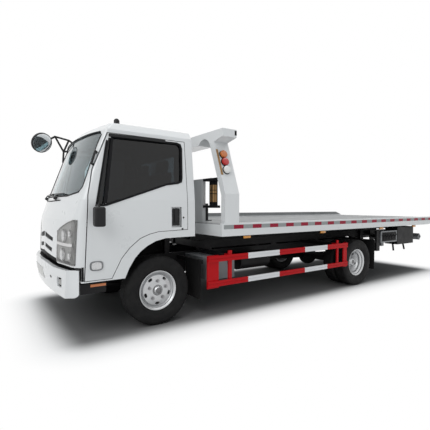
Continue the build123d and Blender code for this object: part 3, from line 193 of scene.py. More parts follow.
# Away from the truck's footprint the floor goes over into plain white where it is looked at.
footprint = (cad_box[1][0] - 0.3, cad_box[1][1] - 0.25, 0)
reach = place(tree, "VectorMath", {0: own_space(tree)}, operation="ABSOLUTE")
reach = place(tree, "VectorMath", {0: reach, 1: footprint}, operation="SUBTRACT")
reach = place(tree, "VectorMath", {0: reach, 1: (0, 0, 0)}, operation="MAXIMUM")
reach = place(tree, "VectorMath", {0: reach}, operation="LENGTH").outputs["Value"]
far = place(tree, "MapRange", {"Value": reach, "From Min": 0.05, "From Max": 0.70},
            interpolation_type="SMOOTHSTEP")
# Painted shadow: under the truck's footprint the floor's colour goes down to dark grey, back to the pale tone
# within 0.4 m outside it.
painted_shadow_fade = place(tree, "MapRange", {"Value": reach, "From Min": 0.0, "From Max": 0.4},
               interpolation_type="SMOOTHSTEP")
feed(tree, shader, {"Base Color": blend(tree, painted_shadow_fade, (0.22, 0.22, 0.22, 1), tone), "Roughness": 0.9,
                    "Specular IOR Level": 0.0})
plain = place(tree, "Emission", {"Color": (1, 1, 1, 1), "Strength": 1.0})
mix = place(tree, "MixShader", {0: reckon(tree, "MULTIPLY", looked_at(tree), far), 1: shader, 2: plain})
feed(tree, tree.nodes["Material Output"], {"Surface": mix})
floor.data.materials.append(floor_finish)

room = bpy.context.scene.world or bpy.data.worlds.new("studio_room")
bpy.context.scene.world = room
room.use_nodes = True
tree = room.node_tree
tree.nodes.clear()
room_light = place(tree, "Background", {"Color": (0.93, 0.97, 1.0, 1), "Strength": 0.43})
room_seen = place(tree, "Background", {"Color": (1, 1, 1, 1), "Strength": 1.0})
mix = place(tree, "MixShader", {0: looked_at(tree), 1: room_light, 2: room_seen})
place(tree, "OutputWorld", {"Surface": mix})


def area_lamp(name, where, aim, size, watts):
    """A broad soft lamp that faces a point."""
    data = bpy.data.lights.new(name, "AREA")
    data.size = size
    data.energy = watts
    lamp = bpy.data.objects.new(name, data)
    bpy.context.scene.collection.objects.link(lamp)
    lamp.location = where
    lamp.rotation_euler = (Vector(aim) - Vector(where)).to_track_quat("-Z", "Y").to_euler()


area_lamp("front_lamp", (9.0, 4.5, 6.5), (1.5, 0, 1.0), 6.0, 330)
area_lamp("top_lamp", (-0.5, 0.5, 9.0), (-0.5, 0, 0), 9.0, 400)

# ---- ladder frame, axles and springs
# Pressed steel channels in black chassis paint, cast axles and leaf springs. The paint is
# sprayed thick, goes matt low down, and carries a little road film.


def start_group(name, inputs, outputs):
    """A node group with float sockets, its input node and its output node."""
    made = bpy.data.node_groups.new(name, "ShaderNodeTree")
    for label, value in inputs.items():
        socket = made.interface.new_socket(label, in_out="INPUT", socket_type="NodeSocketFloat")
        socket.default_value = value
    for label in outputs:
        made.interface.new_socket(label, in_out="OUTPUT", socket_type="NodeSocketFloat")
    return made, made.nodes.new("NodeGroupInput"), made.nodes.new("NodeGroupOutput")


# Road film: thickest at the ground, patchy, gone above Top.
road_film, given, result = start_group("road_film", {"Top": 0.8, "Amount": 0.3, "Scale": 5.0}, ("Mask",))
where = own_space(road_film)
height = place(road_film, "SeparateXYZ", {0: where})
low = place(road_film, "MapRange", {"Value": height.outputs["Z"], "From Min": 0.0,
                                    "From Max": given.outputs["Top"], "To Min": 1.0, "To Max": 0.0})
patches = place(road_film, "TexNoise", {"Vector": where, "Scale": given.outputs["Scale"], "Detail": 6.0,
                                        "Roughness": 0.65})
patchy = place(road_film, "MapRange", {"Value": patches, "From Min": 0.35, "From Max": 0.7, "To Min": 0.4,
                                       "To Max": 1.0})
layer = reckon(road_film, "MULTIPLY", low, patchy)
feed(road_film, result, {"Mask": reckon(road_film, "MULTIPLY", layer, given.outputs["Amount"])})

# Grain: fine unevenness, for roughness and for the bump of peel, casting skin or moulded grain.
surface_grain, given, result = start_group("surface_grain", {"Scale": 200.0, "Low": 0.3, "High": 0.5},
                                           ("Value", "Height"))
where = own_space(surface_grain)
fine = place(surface_grain, "TexNoise", {"Vector": where, "Scale": given.outputs["Scale"], "Detail": 3.0,
                                         "Roughness": 0.5})
wide_scale = reckon(surface_grain, "MULTIPLY", given.outputs["Scale"], 0.03)
wide = place(surface_grain, "TexNoise", {"Vector": where, "Scale": wide_scale, "Detail": 4.0,
                                         "Roughness": 0.6})
between = place(surface_grain, "MapRange", {"Value": wide, "From Min": 0.3, "From Max": 0.7,
                                            "To Min": given.outputs["Low"], "To Max": given.outputs["High"]})
feed(surface_grain, result, {"Value": between, "Height": fine})

film_colour = (0.15, 0.14, 0.125, 1)


def grained(tree, scale, low, high, bump, distance=0.001):
    """Fine unevenness as a value between low and high for the polish, and as relief for the surface."""
    grain = place(tree, "Group", {"Scale": scale, "Low": low, "High": high}, node_tree=surface_grain)
    relief = place(tree, "Bump", {"Height": grain.outputs["Height"], "Strength": bump, "Distance": distance})
    return grain, relief


def coated(name, colour, rough, grain_scale, bump, film_top=0.9, film=0.2, metal=0.0, coat=0.0, shade=0.85,
           gloss=0.5):
    """A finish with grain, a little tone variation and road film; rough is a low and high pair."""
    material, tree, shader = finish(name)
    grain, relief = grained(tree, grain_scale, *rough, bump)
    film_mask = place(tree, "Group", {"Top": film_top, "Amount": film}, node_tree=road_film)
    tone = place(tree, "TexNoise", {"Scale": 1.7, "Detail": 3.0})
    darker = tuple(channel * shade for channel in colour)
    varied = blend(tree, tone, (*darker, 1), (*colour, 1))
    feed(tree, shader, {
        "Base Color": blend(tree, film_mask, varied, film_colour), "Normal": relief,
        "Roughness": reckon(tree, "ADD", grain, film_mask, use_clamp=True), "Metallic": metal,
        "Specular IOR Level": gloss, "Coat Weight": coat, "Coat Roughness": 0.06})
    return material


def dress(material, *names):
    """Gives CAD pieces their finish."""
    for name in names:
        nodes[name].data.materials.clear()
        nodes[name].data.materials.append(material)


chassis_black = coated("chassis_black", (0.007, 0.007, 0.008), (0.4, 0.55), 240, 0.15, film_top=1.1,
                       film=0.05, gloss=0.2)
cast_black = coated("cast_black", (0.012, 0.012, 0.012), (0.6, 0.8), 420, 0.6, film_top=0.7, film=0.10,
                    gloss=0.15)
dress(chassis_black, "frame_rails", "cross_members", "frame_brackets", "springs")
dress(cast_black, "front_axle", "rear_axle", "engine", "knuckle_left", "knuckle_right")


def keep(bm, name, material, body, smooth=True, angle=35):
    """Turns mesh data into a piece that rides on a body."""
    mesh = bpy.data.meshes.new(name)
    bmesh.ops.recalc_face_normals(bm, faces=bm.faces)
    bm.to_mesh(mesh)
    bm.free()
    piece = bpy.data.objects.new(name, mesh)
    bpy.context.scene.collection.objects.link(piece)
    mesh.materials.append(material)
    if smooth:
        mesh.shade_smooth()
        mesh.set_sharp_from_angle(angle=math.radians(angle))
    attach(piece, body)
    return piece


def spot(ahead, y, z):
    """A place by its distance ahead of the front axle."""
    return Vector((front_axle.x + ahead, y, z))


def loft(bm, rings, around=False, caps=()):
    """Quads between rings of points; around joins the last ring to the first, caps are the rings filled."""
    for here, after in zip(rings, rings[1:] + (rings[:1] if around else [])):
        if here and after:
            for j in range(len(here)):
                k = (j + 1) % len(here)
                bm.faces.new((here[j], here[k], after[k], after[j]))
    for i in caps:
        if rings[i]:
            bm.faces.new(rings[i])


def spin(bm, profile, centre, side=1, segments=96, push=None):
    """Turns a closed profile of (radius, outboard) pairs about an axle; push moves points by turn."""
    rings = []
    for i in range(segments):
        turn = 2 * math.pi * i / segments
        ring = []
        for j, (radius, out) in enumerate(profile):
            if push:
                radius, out = push(i, j, radius, out)
            ring.append(bm.verts.new((centre[0] + radius * math.cos(turn), centre[1] + side * out,
                                      centre[2] + radius * math.sin(turn))))
        rings.append(ring)
    loft(bm, rings, around=True)


def rod(bm, start, end, radius, sides=12, taper=1.0):
    """A capped round or hexagonal rod between two points."""
    start, end = Vector(start), Vector(end)
    made = bmesh.ops.create_cone(bm, cap_ends=True, segments=sides, radius1=radius, radius2=radius * taper,
                                 depth=(end - start).length)
    turn = (end - start).to_track_quat("Z", "Y").to_matrix().to_4x4()
    bmesh.ops.transform(bm, matrix=Matrix.Translation((start + end) / 2) @ turn, verts=made["verts"])


def ball(bm, centre, radius, sides=14, rows=10):
    """A round knob or joint."""
    bmesh.ops.create_uvsphere(bm, u_segments=sides, v_segments=rows, radius=radius,
                              matrix=Matrix.Translation(centre))


def slab(bm, low, high, round_edge=0.0):
    """A box between two corners, its edges rounded."""
    low, high = Vector(map(min, low, high)), Vector(map(max, low, high))
    made = bmesh.ops.create_cube(bm, size=1)
    scale = Matrix.Diagonal((*(high - low), 1))
    bmesh.ops.transform(bm, matrix=Matrix.Translation((low + high) / 2) @ scale, verts=made["verts"])
    if round_edge:
        edges = list({edge for vert in made["verts"] for edge in vert.link_edges})
        bmesh.ops.bevel(bm, geom=edges, offset=round_edge, segments=2, affect="EDGES", profile=0.5)


both_sides = (("left", 1), ("right", -1))

# Bolts that hold the cross members and lugs to the rails' webs.
bm = bmesh.new()
rail_side = span("frame_rails")[1].y
bolt_places = (0.79, -1.3, -2.2, -3.15, -4.4, -4.74)
bolt_heights = (0.592, 0.63, 0.668)
bolt_spread, bolt_radius, bolt_head = 0.022, 0.011, 0.009
for side in (1, -1):
    for ahead in bolt_places:
        for along in (ahead - bolt_spread, ahead + bolt_spread):
            for z in bolt_heights:
                rod(bm, spot(along, side * rail_side, z), spot(along, side * (rail_side + bolt_head), z),
                    bolt_radius, sides=6)
keep(bm, "rail_bolts", chassis_black, "chassis")

# ---- wheels
# Pressed steel discs on drop-centre rims, sprayed silver, with five studs; ribbed road tyres.
# The discs and rims are the solid ones; tyres are turned again with their grooves and shoulder cuts.
wheel_silver = coated("wheel_silver", (0.60, 0.61, 0.62), (0.28, 0.42), 300, 0.12, film_top=0.6, film=0.15,
                      metal=0.75, coat=0.3)
dress(wheel_silver, "front_rim_left", "front_rim_right", "rear_rims_left", "rear_rims_right")
nut_steel = coated("nut_steel", (0.42, 0.42, 0.43), (0.3, 0.5), 500, 0.3, film_top=0.7, film=0.15, metal=0.95)
hub_grey = coated("hub_grey", (0.22, 0.22, 0.225), (0.35, 0.55), 400, 0.4, film_top=0.7, film=0.25, metal=0.6)

tyre_rubber, tree, shader = finish("tyre_rubber")
grain, relief = grained(tree, 500.0, 0.62, 0.82, 0.35, 0.0008)
blotch = place(tree, "TexNoise", {"Vector": own_space(tree), "Scale": 9.0, "Detail": 5.0})
tone = ramp(tree, blotch, (0.007, 0.007, 0.0075), (0.015, 0.0148, 0.0145), 0.3, 0.75)
feed(tree, shader, {"Base Color": tone, "Roughness": grain, "Normal": relief, "Specular IOR Level": 0.2})

low, high = span("front_tyre_left")
tyre_radius = (high.z - low.z) / 2
tyre_half = (high.y - low.y) / 2
bead_radius = 0.228
bead_half = 0.066
groove_depth = 0.011
groove_places = (-0.046, -0.016, 0.016, 0.046)
groove_half = 0.0045
tread_pitch = 4              # segments from one shoulder cut to the next
tyre_segments = 216


def tyre_profile():
    """Half a tyre's section from bead to tread, mirrored to the other bead."""
    side_wall = [(bead_radius, bead_half), (bead_radius + 0.006, bead_half + 0.014),
                 (0.250, 0.0895), (0.254, 0.0915), (0.258, 0.0905), (0.278, 0.0975), (0.300, tyre_half),
                 (0.325, 0.0992), (0.338, 0.0972), (0.341, 0.0985), (0.350, 0.0972),
                 (tyre_radius - 0.022, 0.0925), (tyre_radius - 0.008, 0.0850), (tyre_radius - 0.002, 0.0760)]
    tread = []
    for place_y in reversed(groove_places):
        tread += [(tyre_radius - depth, place_y + out) for depth, out in (
            (0, groove_half), (groove_depth, groove_half * 0.6), (groove_depth, -groove_half * 0.6),
            (0, -groove_half))]
    inside = [(r, -y) for r, y in reversed(side_wall)]
    lining = [(0.2045, -bead_half + 0.004), (0.2045, bead_half - 0.004)]
    return side_wall + tread + inside + lining


tyre_section = tyre_profile()
shoulder_points = [i for i, (r, y) in enumerate(tyre_section) if abs(y) > 0.07 and r > tyre_radius - 0.01]
groove_points = [i for i, (r, y) in enumerate(tyre_section) if abs(y) < 0.055 and r > 0.3]


def tread_push(turn, point, radius, out):
    """Cuts in the shoulders and a zigzag in the grooves."""
    phase = turn % (2 * tread_pitch)
    if point in shoulder_points and turn % tread_pitch == 0:
        radius -= 0.006
    if point in groove_points:
        out += 0.0026 if phase < tread_pitch else -0.0026
    return radius, out


def tyre_piece(name, body, centres, side, cad_node):
    """One or two tyres on a wheel, in place of the plain ones."""
    bm = bmesh.new()
    for centre in centres:
        spin(bm, tyre_section, centre, side, tyre_segments, tread_push)
    piece = keep(bm, name, tyre_rubber, body, angle=28)
    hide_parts(cad_node)


def wheel_nuts(name, body, centre, side, face, stud_circle=0.104, hub_face=0.0):
    """Five nuts on their studs, one at the top, round the hub."""
    bm = bmesh.new()
    for i in range(5):
        turn = math.pi / 2 + 2 * math.pi * i / 5
        x = centre[0] + stud_circle * math.cos(turn)
        z = centre[2] + stud_circle * math.sin(turn)
        for radius, depth, sides in ((0.021, 0.005, 24), (0.017, 0.022, 6), (0.010, 0.034, 16)):
            rod(bm, (x, centre[1] + side * face, z), (x, centre[1] + side * (face + depth), z), radius, sides)
    keep(bm, name, nut_steel, body, angle=30)


for name, side in both_sides:
    low, high = span(f"front_tyre_{name}")
    hub = (low + high) / 2
    tyre_piece(f"front_road_tyre_{name}", f"front_wheel_{name}", [hub], side,
               f"front_tyre_{name}")
    wheel_nuts(f"front_nuts_{name}", f"front_wheel_{name}", hub, side, face=0.058)
    bm = bmesh.new()
    spin(bm, [(0.0005, 0.0905), (0.020, 0.0895), (0.029, 0.0855), (0.0345, 0.084), (0.0345, 0.080),
              (0.0005, 0.080)], hub, side, 40)
    spin(bm, [(0.052, 0.059), (0.0575, 0.0615), (0.0600, 0.059), (0.0600, 0.056), (0.052, 0.056)],
         hub, side, 48)
    keep(bm, f"front_hub_cap_{name}", hub_grey, f"front_wheel_{name}")

    low, high = span(f"rear_tyres_{name}")
    outer_y = (high.y if side > 0 else low.y) - side * tyre_half
    inner_y = (low.y if side > 0 else high.y) + side * tyre_half
    rear_hub = Vector(((low.x + high.x) / 2, (outer_y + inner_y) / 2, (low.z + high.z) / 2))
    tyre_piece(f"rear_road_tyres_{name}", f"rear_wheels_{name}",
               [Vector((rear_hub.x, y, rear_hub.z)) for y in (outer_y, inner_y)], side, f"rear_tyres_{name}")
    wheel_nuts(f"rear_nuts_{name}", f"rear_wheels_{name}", rear_hub, side, face=0.010)
    bm = bmesh.new()
    spin(bm, [(0.0005, 0.1215), (0.030, 0.1215), (0.047, 0.1185), (0.049, 0.116), (0.0005, 0.116)],
         rear_hub, side, 40)
    for i in range(8):
        turn = 2 * math.pi * i / 8
        x, z = rear_hub.x + 0.066 * math.cos(turn), rear_hub.z + 0.066 * math.sin(turn)
        rod(bm, (x, rear_hub.y + side * 0.088, z), (x, rear_hub.y + side * 0.104, z), 0.008, 6)
    keep(bm, f"rear_hub_cap_{name}", hub_grey, f"rear_wheels_{name}")

# ---- tie rod and cylinders
# Drawn tube and hard chromed rods, with painted barrels.
chrome, tree, shader = finish("chrome")
streaks = place(tree, "TexNoise", {"Scale": 40.0, "Detail": 2.0})
polish = place(tree, "MapRange", {"Value": streaks, "To Min": 0.06, "To Max": 0.14})
feed(tree, shader, {"Base Color": (0.78, 0.79, 0.80, 1), "Roughness": polish, "Metallic": 1.0})
dress(chrome, "tilt_rods", "slide_rod")
dress(nut_steel, "tie_rod", "exhaust", "winch_drum")
dress(chassis_black, "tilt_barrels", "tilt_rails", "tilt_cross_members", "slide_barrel", "underlift_boom",
      "underlift_extension", "bed_beams", "bed_cross_members", "tanks", "winch_frame")

# ---- boxes, flaps and side guards
# Grey painted control boxes, rubber flaps, and red guards whose two rails carry white bands.
box_grey = coated("box_grey", (0.20, 0.21, 0.22), (0.35, 0.5), 260, 0.2, film=0.15, coat=0.2)
dress(box_grey, "side_boxes", "fork_bar")
flap_rubber = coated("flap_rubber", (0.009, 0.009, 0.0095), (0.6, 0.8), 350, 0.5, film_top=0.8,
                     film=0.10, gloss=0.15)
dress(flap_rubber, "mud_flaps")
guard_red = coated("guard_red", (0.50, 0.002, 0.006), (0.4, 0.5), 260, 0.1, film_top=0.7, film=0.03,
                   coat=0.08, gloss=0.12)


def repainted(paint, name):
    """A copy of a paint, with its node tree, its shader and what feeds its colour and its polish."""
    material = paint.copy()
    material.name = name
    shader = material.node_tree.nodes["Principled BSDF"]
    colour, polish = (shader.inputs[key].links[0].from_socket for key in ("Base Color", "Roughness"))
    return material, material.node_tree, shader, colour, polish


# The arms that carry the guards from the frame are black; only their outer ends are red.
post_paint, tree, shader, red, _ = repainted(guard_red, "post_paint")
across = place(tree, "SeparateXYZ", {0: own_space(tree)})
outer = reckon(tree, "GREATER_THAN", reckon(tree, "ABSOLUTE", across.outputs["Y"]), 1.04)
feed(tree, shader, {"Base Color": blend(tree, outer, (0.007, 0.007, 0.008, 1), red)})
dress(post_paint, "guard_posts")

band_edges = (-1.124, -1.678, -2.191, -2.701)     # from the front axle, where red and white meet
guard_banded, tree, shader, red, _ = repainted(guard_red, "guard_banded")
along = place(tree, "SeparateXYZ", {0: own_space(tree)})
bands = [reckon(tree, "COMPARE", along, front_axle.x + (front + rear) / 2, (front - rear) / 2)
         for front, rear in (band_edges[0:2], band_edges[2:4])]
white_mask = reckon(tree, "MAXIMUM", *bands)
feed(tree, shader, {"Base Color": blend(tree, white_mask, red, (0.74, 0.75, 0.76, 1))})
dress(guard_banded, "guard_rails")

# ---- bed
# White side rails and sills round a grey steel deck, with a reflective tape along each rail.
body_white = coated("body_white", (0.70, 0.715, 0.72), (0.26, 0.36), 180, 0.06, film_top=0.7, film=0.05,
                    coat=0.55, shade=0.97)
dress(body_white, "side_rails", "bed_sills", "gantry_posts", "gantry_beam")

deck_grey, tree, shader = finish("deck_grey")
grain, relief = grained(tree, 150.0, 0.38, 0.62, 0.3)
stretch = place(tree, "Mapping", {"Vector": own_space(tree), "Scale": (0.5, 9.0, 1.0)})
scuffs = place(tree, "TexNoise", {"Vector": stretch, "Scale": 3.0, "Detail": 7.0, "Roughness": 0.7})
tone = ramp(tree, scuffs, (0.18, 0.188, 0.192), (0.27, 0.278, 0.282), 0.3, 0.75)
feed(tree, shader, {"Base Color": tone, "Roughness": grain, "Normal": relief, "Metallic": 0.2})
dress(deck_grey, "deck")

# Reflective sheet: prism cells under a clear film, in red and silver-white pieces.
prism_cells, given, result = start_group("prism_cells", {"Scale": 260.0}, ("Edge",))
cells = place(prism_cells, "TexVoronoi", {"Vector": own_space(prism_cells), "Scale": given.outputs["Scale"]},
              feature="DISTANCE_TO_EDGE")
feed(prism_cells, result, {"Edge": place(prism_cells, "MapRange", {"Value": cells, "From Max": 0.08})})


def tape(name, colour, line):
    """A reflective finish of one colour with its fainter cell walls."""
    material, tree, shader = finish(name)
    cell = place(tree, "Group", {"Scale": 260.0}, node_tree=prism_cells)
    feed(tree, shader, {"Base Color": blend(tree, cell, (*line, 1), (*colour, 1)), "Roughness": 0.45,
                        "Specular IOR Level": 0.2, "Coat Weight": 0.1})
    return material


tape_red = tape("tape_red", (0.30, 0.004, 0.028), (0.22, 0.003, 0.018))
tape_silver = tape("tape_silver", (0.28, 0.295, 0.295), (0.36, 0.38, 0.38))
tape_low, tape_high = 1.062, 1.112
tape_length = 0.15
tape_start = -0.879 + tape_length       # a silver piece comes first
rail_low, rail_high = span("side_rails")
for side_name, side in both_sides:
    for material, first in ((tape_silver, 0), (tape_red, 1)):
        bm = bmesh.new()
        i = first
        while front_axle.x + tape_start - (i + 1) * tape_length > rail_low.x + 0.01:
            front = front_axle.x + tape_start - i * tape_length
            slab(bm, (front - tape_length, side * rail_high.y, tape_low),
                 (front, side * (rail_high.y + 0.0006), tape_high))
            i += 2
        keep(bm, f"{material.name}_{side_name}", material, "bed",
             smooth=False)

# ---- cab shell and panels
# Pressed steel in white paint; the doors, the front panel and the bumper are separate pressings.
# Inside, and under the floor and the arches, the sheet is dark with trim and underseal.
dress(body_white, "bumper")

# Mask of the faces that look toward a point, such as the lining of a room round it.
turned_in, given, result = start_group("turned_in", {"X": 0.0, "Y": 0.0, "Z": 0.0}, ("Mask",))
where = place(turned_in, "TexCoord")
centre = place(turned_in, "CombineXYZ", {key: given.outputs[key] for key in "XYZ"})
away = place(turned_in, "VectorMath", {0: where.outputs["Object"], 1: centre}, operation="SUBTRACT")
facing = place(turned_in, "VectorMath", {0: away, 1: where.outputs["Normal"]}, operation="DOT_PRODUCT")
feed(turned_in, result, {"Mask": reckon(turned_in, "LESS_THAN", facing.outputs["Value"], 0.0)})

lining_colour = (0.020, 0.020, 0.023, 1)


def lined(paint, name, *centres):
    """A paint that gives way to dark lining on the faces that look toward any of these points."""
    material, tree, shader, outer_colour, outer_polish = repainted(paint, name)
    masks = [place(tree, "Group", dict(zip("XYZ", centre)), node_tree=turned_in) for centre in centres]
    inward = masks[0]
    for mask in masks[1:]:
        inward = reckon(tree, "MAXIMUM", inward, mask)
    polish = place(tree, "Mix", {0: inward, 2: outer_polish, 3: 0.8}, data_type="FLOAT")
    feed(tree, shader, {"Base Color": blend(tree, inward, outer_colour, lining_colour), "Roughness": polish})
    return material


cab_white = lined(body_white, "cab_white", (front_axle.x, 0, front_axle.z), spot(0.1, 0, 1.55))
dress(cab_white, "cab_shell", "door_left", "door_right")
dress(body_white, "front_panel")

black_plastic = coated("black_plastic", (0.008, 0.008, 0.009), (0.38, 0.5), 600, 0.35, film_top=0.5,
                       film=0.03, gloss=0.3)
dress(black_plastic, "round_mirror", "dashboard", "steering_wheel", "door_mirror_left", "door_mirror_right")
slot_black = coated("slot_black", (0.004, 0.004, 0.005), (0.5, 0.7), 500, 0.3, film=0.02, gloss=0.15)
seal_rubber = coated("seal_rubber", (0.006, 0.006, 0.007), (0.55, 0.7), 700, 0.3, film_top=0.5, film=0.02,
                     gloss=0.15)


def skin(*names):
    """The outer surfaces of some CAD pieces, to lay trim on."""
    points, faces = [], []
    for name in names:
        first = len(points)
        points += [vert.co.copy() for vert in nodes[name].data.vertices]
        faces += [[first + i for i in face.vertices] for face in nodes[name].data.polygons]
    return BVHTree.FromPolygons(points, faces)


def trim(bm, surface, outline, toward, width, thick, around=False, lift=0.0, step=0.03, reveal=0.0):
    """A flat strip laid along an outline on a surface; the strip lies outside the outline.

    Points are (distance, height) seen from the side, or (y, height) seen from the front, and toward is
    the line of sight. A positive width goes to the right of the direction of travel. With a reveal the
    strip also turns in over the edge of an opening, so far. Around closes the outline.
    """
    toward = Vector(toward)
    front_view = abs(toward.x) > 0.5
    loop = [Vector(point) for point in outline]
    if around:
        loop.append(loop[0])
    stations = []
    for a, b in zip(loop, loop[1:]):
        count = max(1, round((b - a).length / step))
        stations += [(a.lerp(b, i / count), (b - a).normalized()) for i in range(count)]
    if not around:
        stations.append((loop[-1], (loop[-1] - loop[-2]).normalized()))
    rings = []
    for i, (point, run) in enumerate(stations):
        before = stations[i - 1][1] if (i or around) else run
        turn = (run + before).normalized()
        side_way = Vector((turn.y, -turn.x)) / max(0.5, turn.dot(run))
        corners = []
        for out in (math.copysign(0.0005, width), width):
            place_2d = point + side_way * out
            start = (Vector((front_axle.x, place_2d.x, place_2d.y)) if front_view
                     else Vector((front_axle.x + place_2d.x, 0, place_2d.y))) - toward * 4
            hit, normal, _, _ = surface.ray_cast(start, toward)
            corners.append((hit, normal))
        if corners[0][0] is None or corners[1][0] is None:
            rings.append(None)
            continue
        inward = side_way * math.copysign(0.002, -width) if reveal else Vector((0, 0))
        shift = Vector((0, *inward)) if front_view else Vector((inward.x, 0, inward.y))
        rings.append([bm.verts.new(hit + normal * height + moved) for hit, normal, height, moved in (
            (*corners[0], lift - 0.001 - reveal, shift), (*corners[0], lift + thick, shift),
            (*corners[1], lift + thick, Vector()), (*corners[1], lift - 0.001, Vector()))])
    loft(bm, rings, around, () if around else (0, -1))


cab_skin = skin("cab_shell", "front_panel")
screen_half = ((0.582, 1.445), (0.831, 1.480), (0.873, 1.534), (0.845, 1.770), (0.835, 1.970), (0.845, 2.070),
               (0.800, 2.108), (0.600, 2.118))
crown_start = 5              # from this corner on the edge runs over the screen, where the seal is narrow
other_half = [(-y, z) for y, z in reversed(screen_half)]
bm = bmesh.new()
trim(bm, cab_skin, (*other_half[-crown_start - 1:], *screen_half[:crown_start + 1]), (-1, 0, 0), 0.014, 0.004)
trim(bm, cab_skin, (*screen_half[crown_start:], *other_half[:-crown_start]), (-1, 0, 0), 0.004, 0.004)
keep(bm, "screen_seal", seal_rubber, "cab")

# ---- front slots, cowl and wipers
# Black moulded inserts in the panel's slots, a black lip and strips above the bumper, a black shelf of
# painted shade inside it, and two wipers on a black cowl strip.
bm = bmesh.new()
panel_skin = skin("front_panel")
nose_skin = skin("front_panel", "headlamps")


def front_hit(surface, y, z):
    """Where a surface is met from the front, and its normal there."""
    return surface.ray_cast(spot(4, y, z), Vector((-1, 0, 0)))[:2]


def skin_patch(bm, surface, corners, lift, thick, steps=12):
    """A thin plate of four corners, (y, height), lying over a surface seen from the front."""
    rings = []
    for i in range(steps + 1):
        left, right = (Vector(corners[a]).lerp(Vector(corners[b]), i / steps) for a, b in ((0, 1), (3, 2)))
        points = [front_hit(surface, *left.lerp(right, j / 2)) for j in range(3)]
        rings.append([bm.verts.new(hit + normal * lift) for hit, normal in points]
                     + [bm.verts.new(hit + normal * (lift + thick)) for hit, normal in reversed(points)])
    loft(bm, rings, caps=(0, -1))


slot_corners = (((0.0115, 1.0420), (0.3985, 0.9925), (0.3985, 0.9535), (0.0115, 0.9855)),
                ((0.0375, 0.9150), (0.3835, 0.8785), (0.3660, 0.8380), (0.0435, 0.8695)))
for side in (1, -1):
    for corners in slot_corners:
        skin_patch(bm, panel_skin, [(side * y, z) for y, z in corners], 0.0005, 0.006)
keep(bm, "slot_inserts", slot_black, "cab")

# The lip hangs behind the panel's lower edge, down to the bumper's height.
bm = bmesh.new()
lip_points = ((0, 0.824, 0.744), (0.25, 0.806, 0.744), (0.40, 0.798, 0.735), (0.533, 0.790, 0.724),
              (0.60, 0.765, 0.722), (0.72, 0.765, 0.722), (0.88, 0.765, 0.722))
rings = []
for y, high_z, low_z in [(-y, h, l) for y, h, l in reversed(lip_points[1:])] + list(lip_points):
    hit = front_hit(nose_skin, y, 0.90)[0]
    rings.append([bm.verts.new((hit.x - back, y, z)) for back, z in (
        (0.016, high_z + 0.022), (0.022, low_z), (0.044, low_z), (0.040, high_z + 0.022))])
loft(bm, rings, caps=(0, -1))
keep(bm, "nose_lip", slot_black, "cab", angle=50)

# Black strips on the cab's lower corners, between the bumper and the door.
corner_skin = skin("cab_shell", "front_panel")
bm = bmesh.new()
for side in (1, -1):
    trim(bm, corner_skin, ((0.8230, 0.604), (0.8230, 0.742)), (0, -side, 0), 0.021, 0.0015)
    trim(bm, corner_skin, ((side * 0.925, 0.604), (side * 0.925, 0.742)), (-1, 0, 0), side * 0.070, 0.0015)
keep(bm, "corner_strips", slot_black, "cab")

# A black shelf inside the bumper keeps the ground from showing through; its black is painted shade for the
# dark inside the bumper.
bumper_reach, bumper_bow, shelf_half = 1.045, 3.70, 0.84
shelf_rear, shelf_low, shelf_high = front_axle.x + 0.868, 0.694, 0.698
bm = bmesh.new()
rows = []
for i in range(25):
    y = shelf_half * (i / 12 - 1)
    front = front_axle.x + bumper_reach - (bumper_bow - math.sqrt(bumper_bow ** 2 - y * y))
    rows.append([bm.verts.new((x, y, z)) for x, z in (
        (shelf_rear, shelf_high), (front, shelf_high), (front, shelf_low), (shelf_rear, shelf_low))])
loft(bm, rows, caps=(0, -1))
keep(bm, "bumper_shelf", slot_black, "chassis")

bm = bmesh.new()
trim(bm, cab_skin, ((-0.70, 1.416), (-0.40, 1.398), (0, 1.392), (0.42, 1.400)), (-1, 0, 0), 0.010, 0.005)
keep(bm, "cowl_strip", seal_rubber, "cab")

glass_skin = skin("cab_glass", "cab_shell", "front_panel")
bm = bmesh.new()


def on_screen(y, z, lift):
    """A point a little ahead of the windscreen or panel."""
    hit, normal = front_hit(glass_skin, y, z)
    return hit + normal * lift


for pivot, elbow, tip_a, tip_b in (
    ((0.24, 1.416), (0.02, 1.452), (0.46, 1.462), (-0.12, 1.466)),
    ((-0.52, 1.418), (-0.66, 1.456), (-0.22, 1.462), (-0.76, 1.478)),
):
    base = on_screen(*pivot, 0.0)
    rod(bm, base, base + Vector((0.030, 0, 0.012)), 0.021, 20, 0.75)
    rod(bm, on_screen(*pivot, 0.028), on_screen(*elbow, 0.034), 0.0085, 10, 0.7)
    line = [on_screen(*Vector(tip_a).lerp(Vector(tip_b), i / 12), 0.020) for i in range(13)]
    for start, end in zip(line, line[1:]):
        rod(bm, start, end, 0.0055, 8)
        rod(bm, start - Vector((0.009, 0, 0)), end - Vector((0.009, 0, 0)), 0.003, 6)
    rod(bm, on_screen(*elbow, 0.036), on_screen(*elbow, 0.012), 0.010, 10)
keep(bm, "wipers", black_plastic, "cab")

# ---- doors, their windows and handles
# Each door has a black rubber frame round its glass, a black bar before the quarter glass, a wind
# deflector over the window, a pull handle with its lock and a small clear side lamp.
def glass(name, colour, rough, tint_scale):
    """Clear glass with a faint unevenness in its polish."""
    material, tree, shader = finish(name)
    wave = place(tree, "TexNoise", {"Scale": tint_scale, "Detail": 1.0})
    polish = place(tree, "MapRange", {"Value": wave, "To Min": rough, "To Max": rough + 0.02})
    feed(tree, shader, {"Base Color": (*colour, 1), "Roughness": polish, "Transmission Weight": 1.0,
                        "IOR": 1.45})
    return material


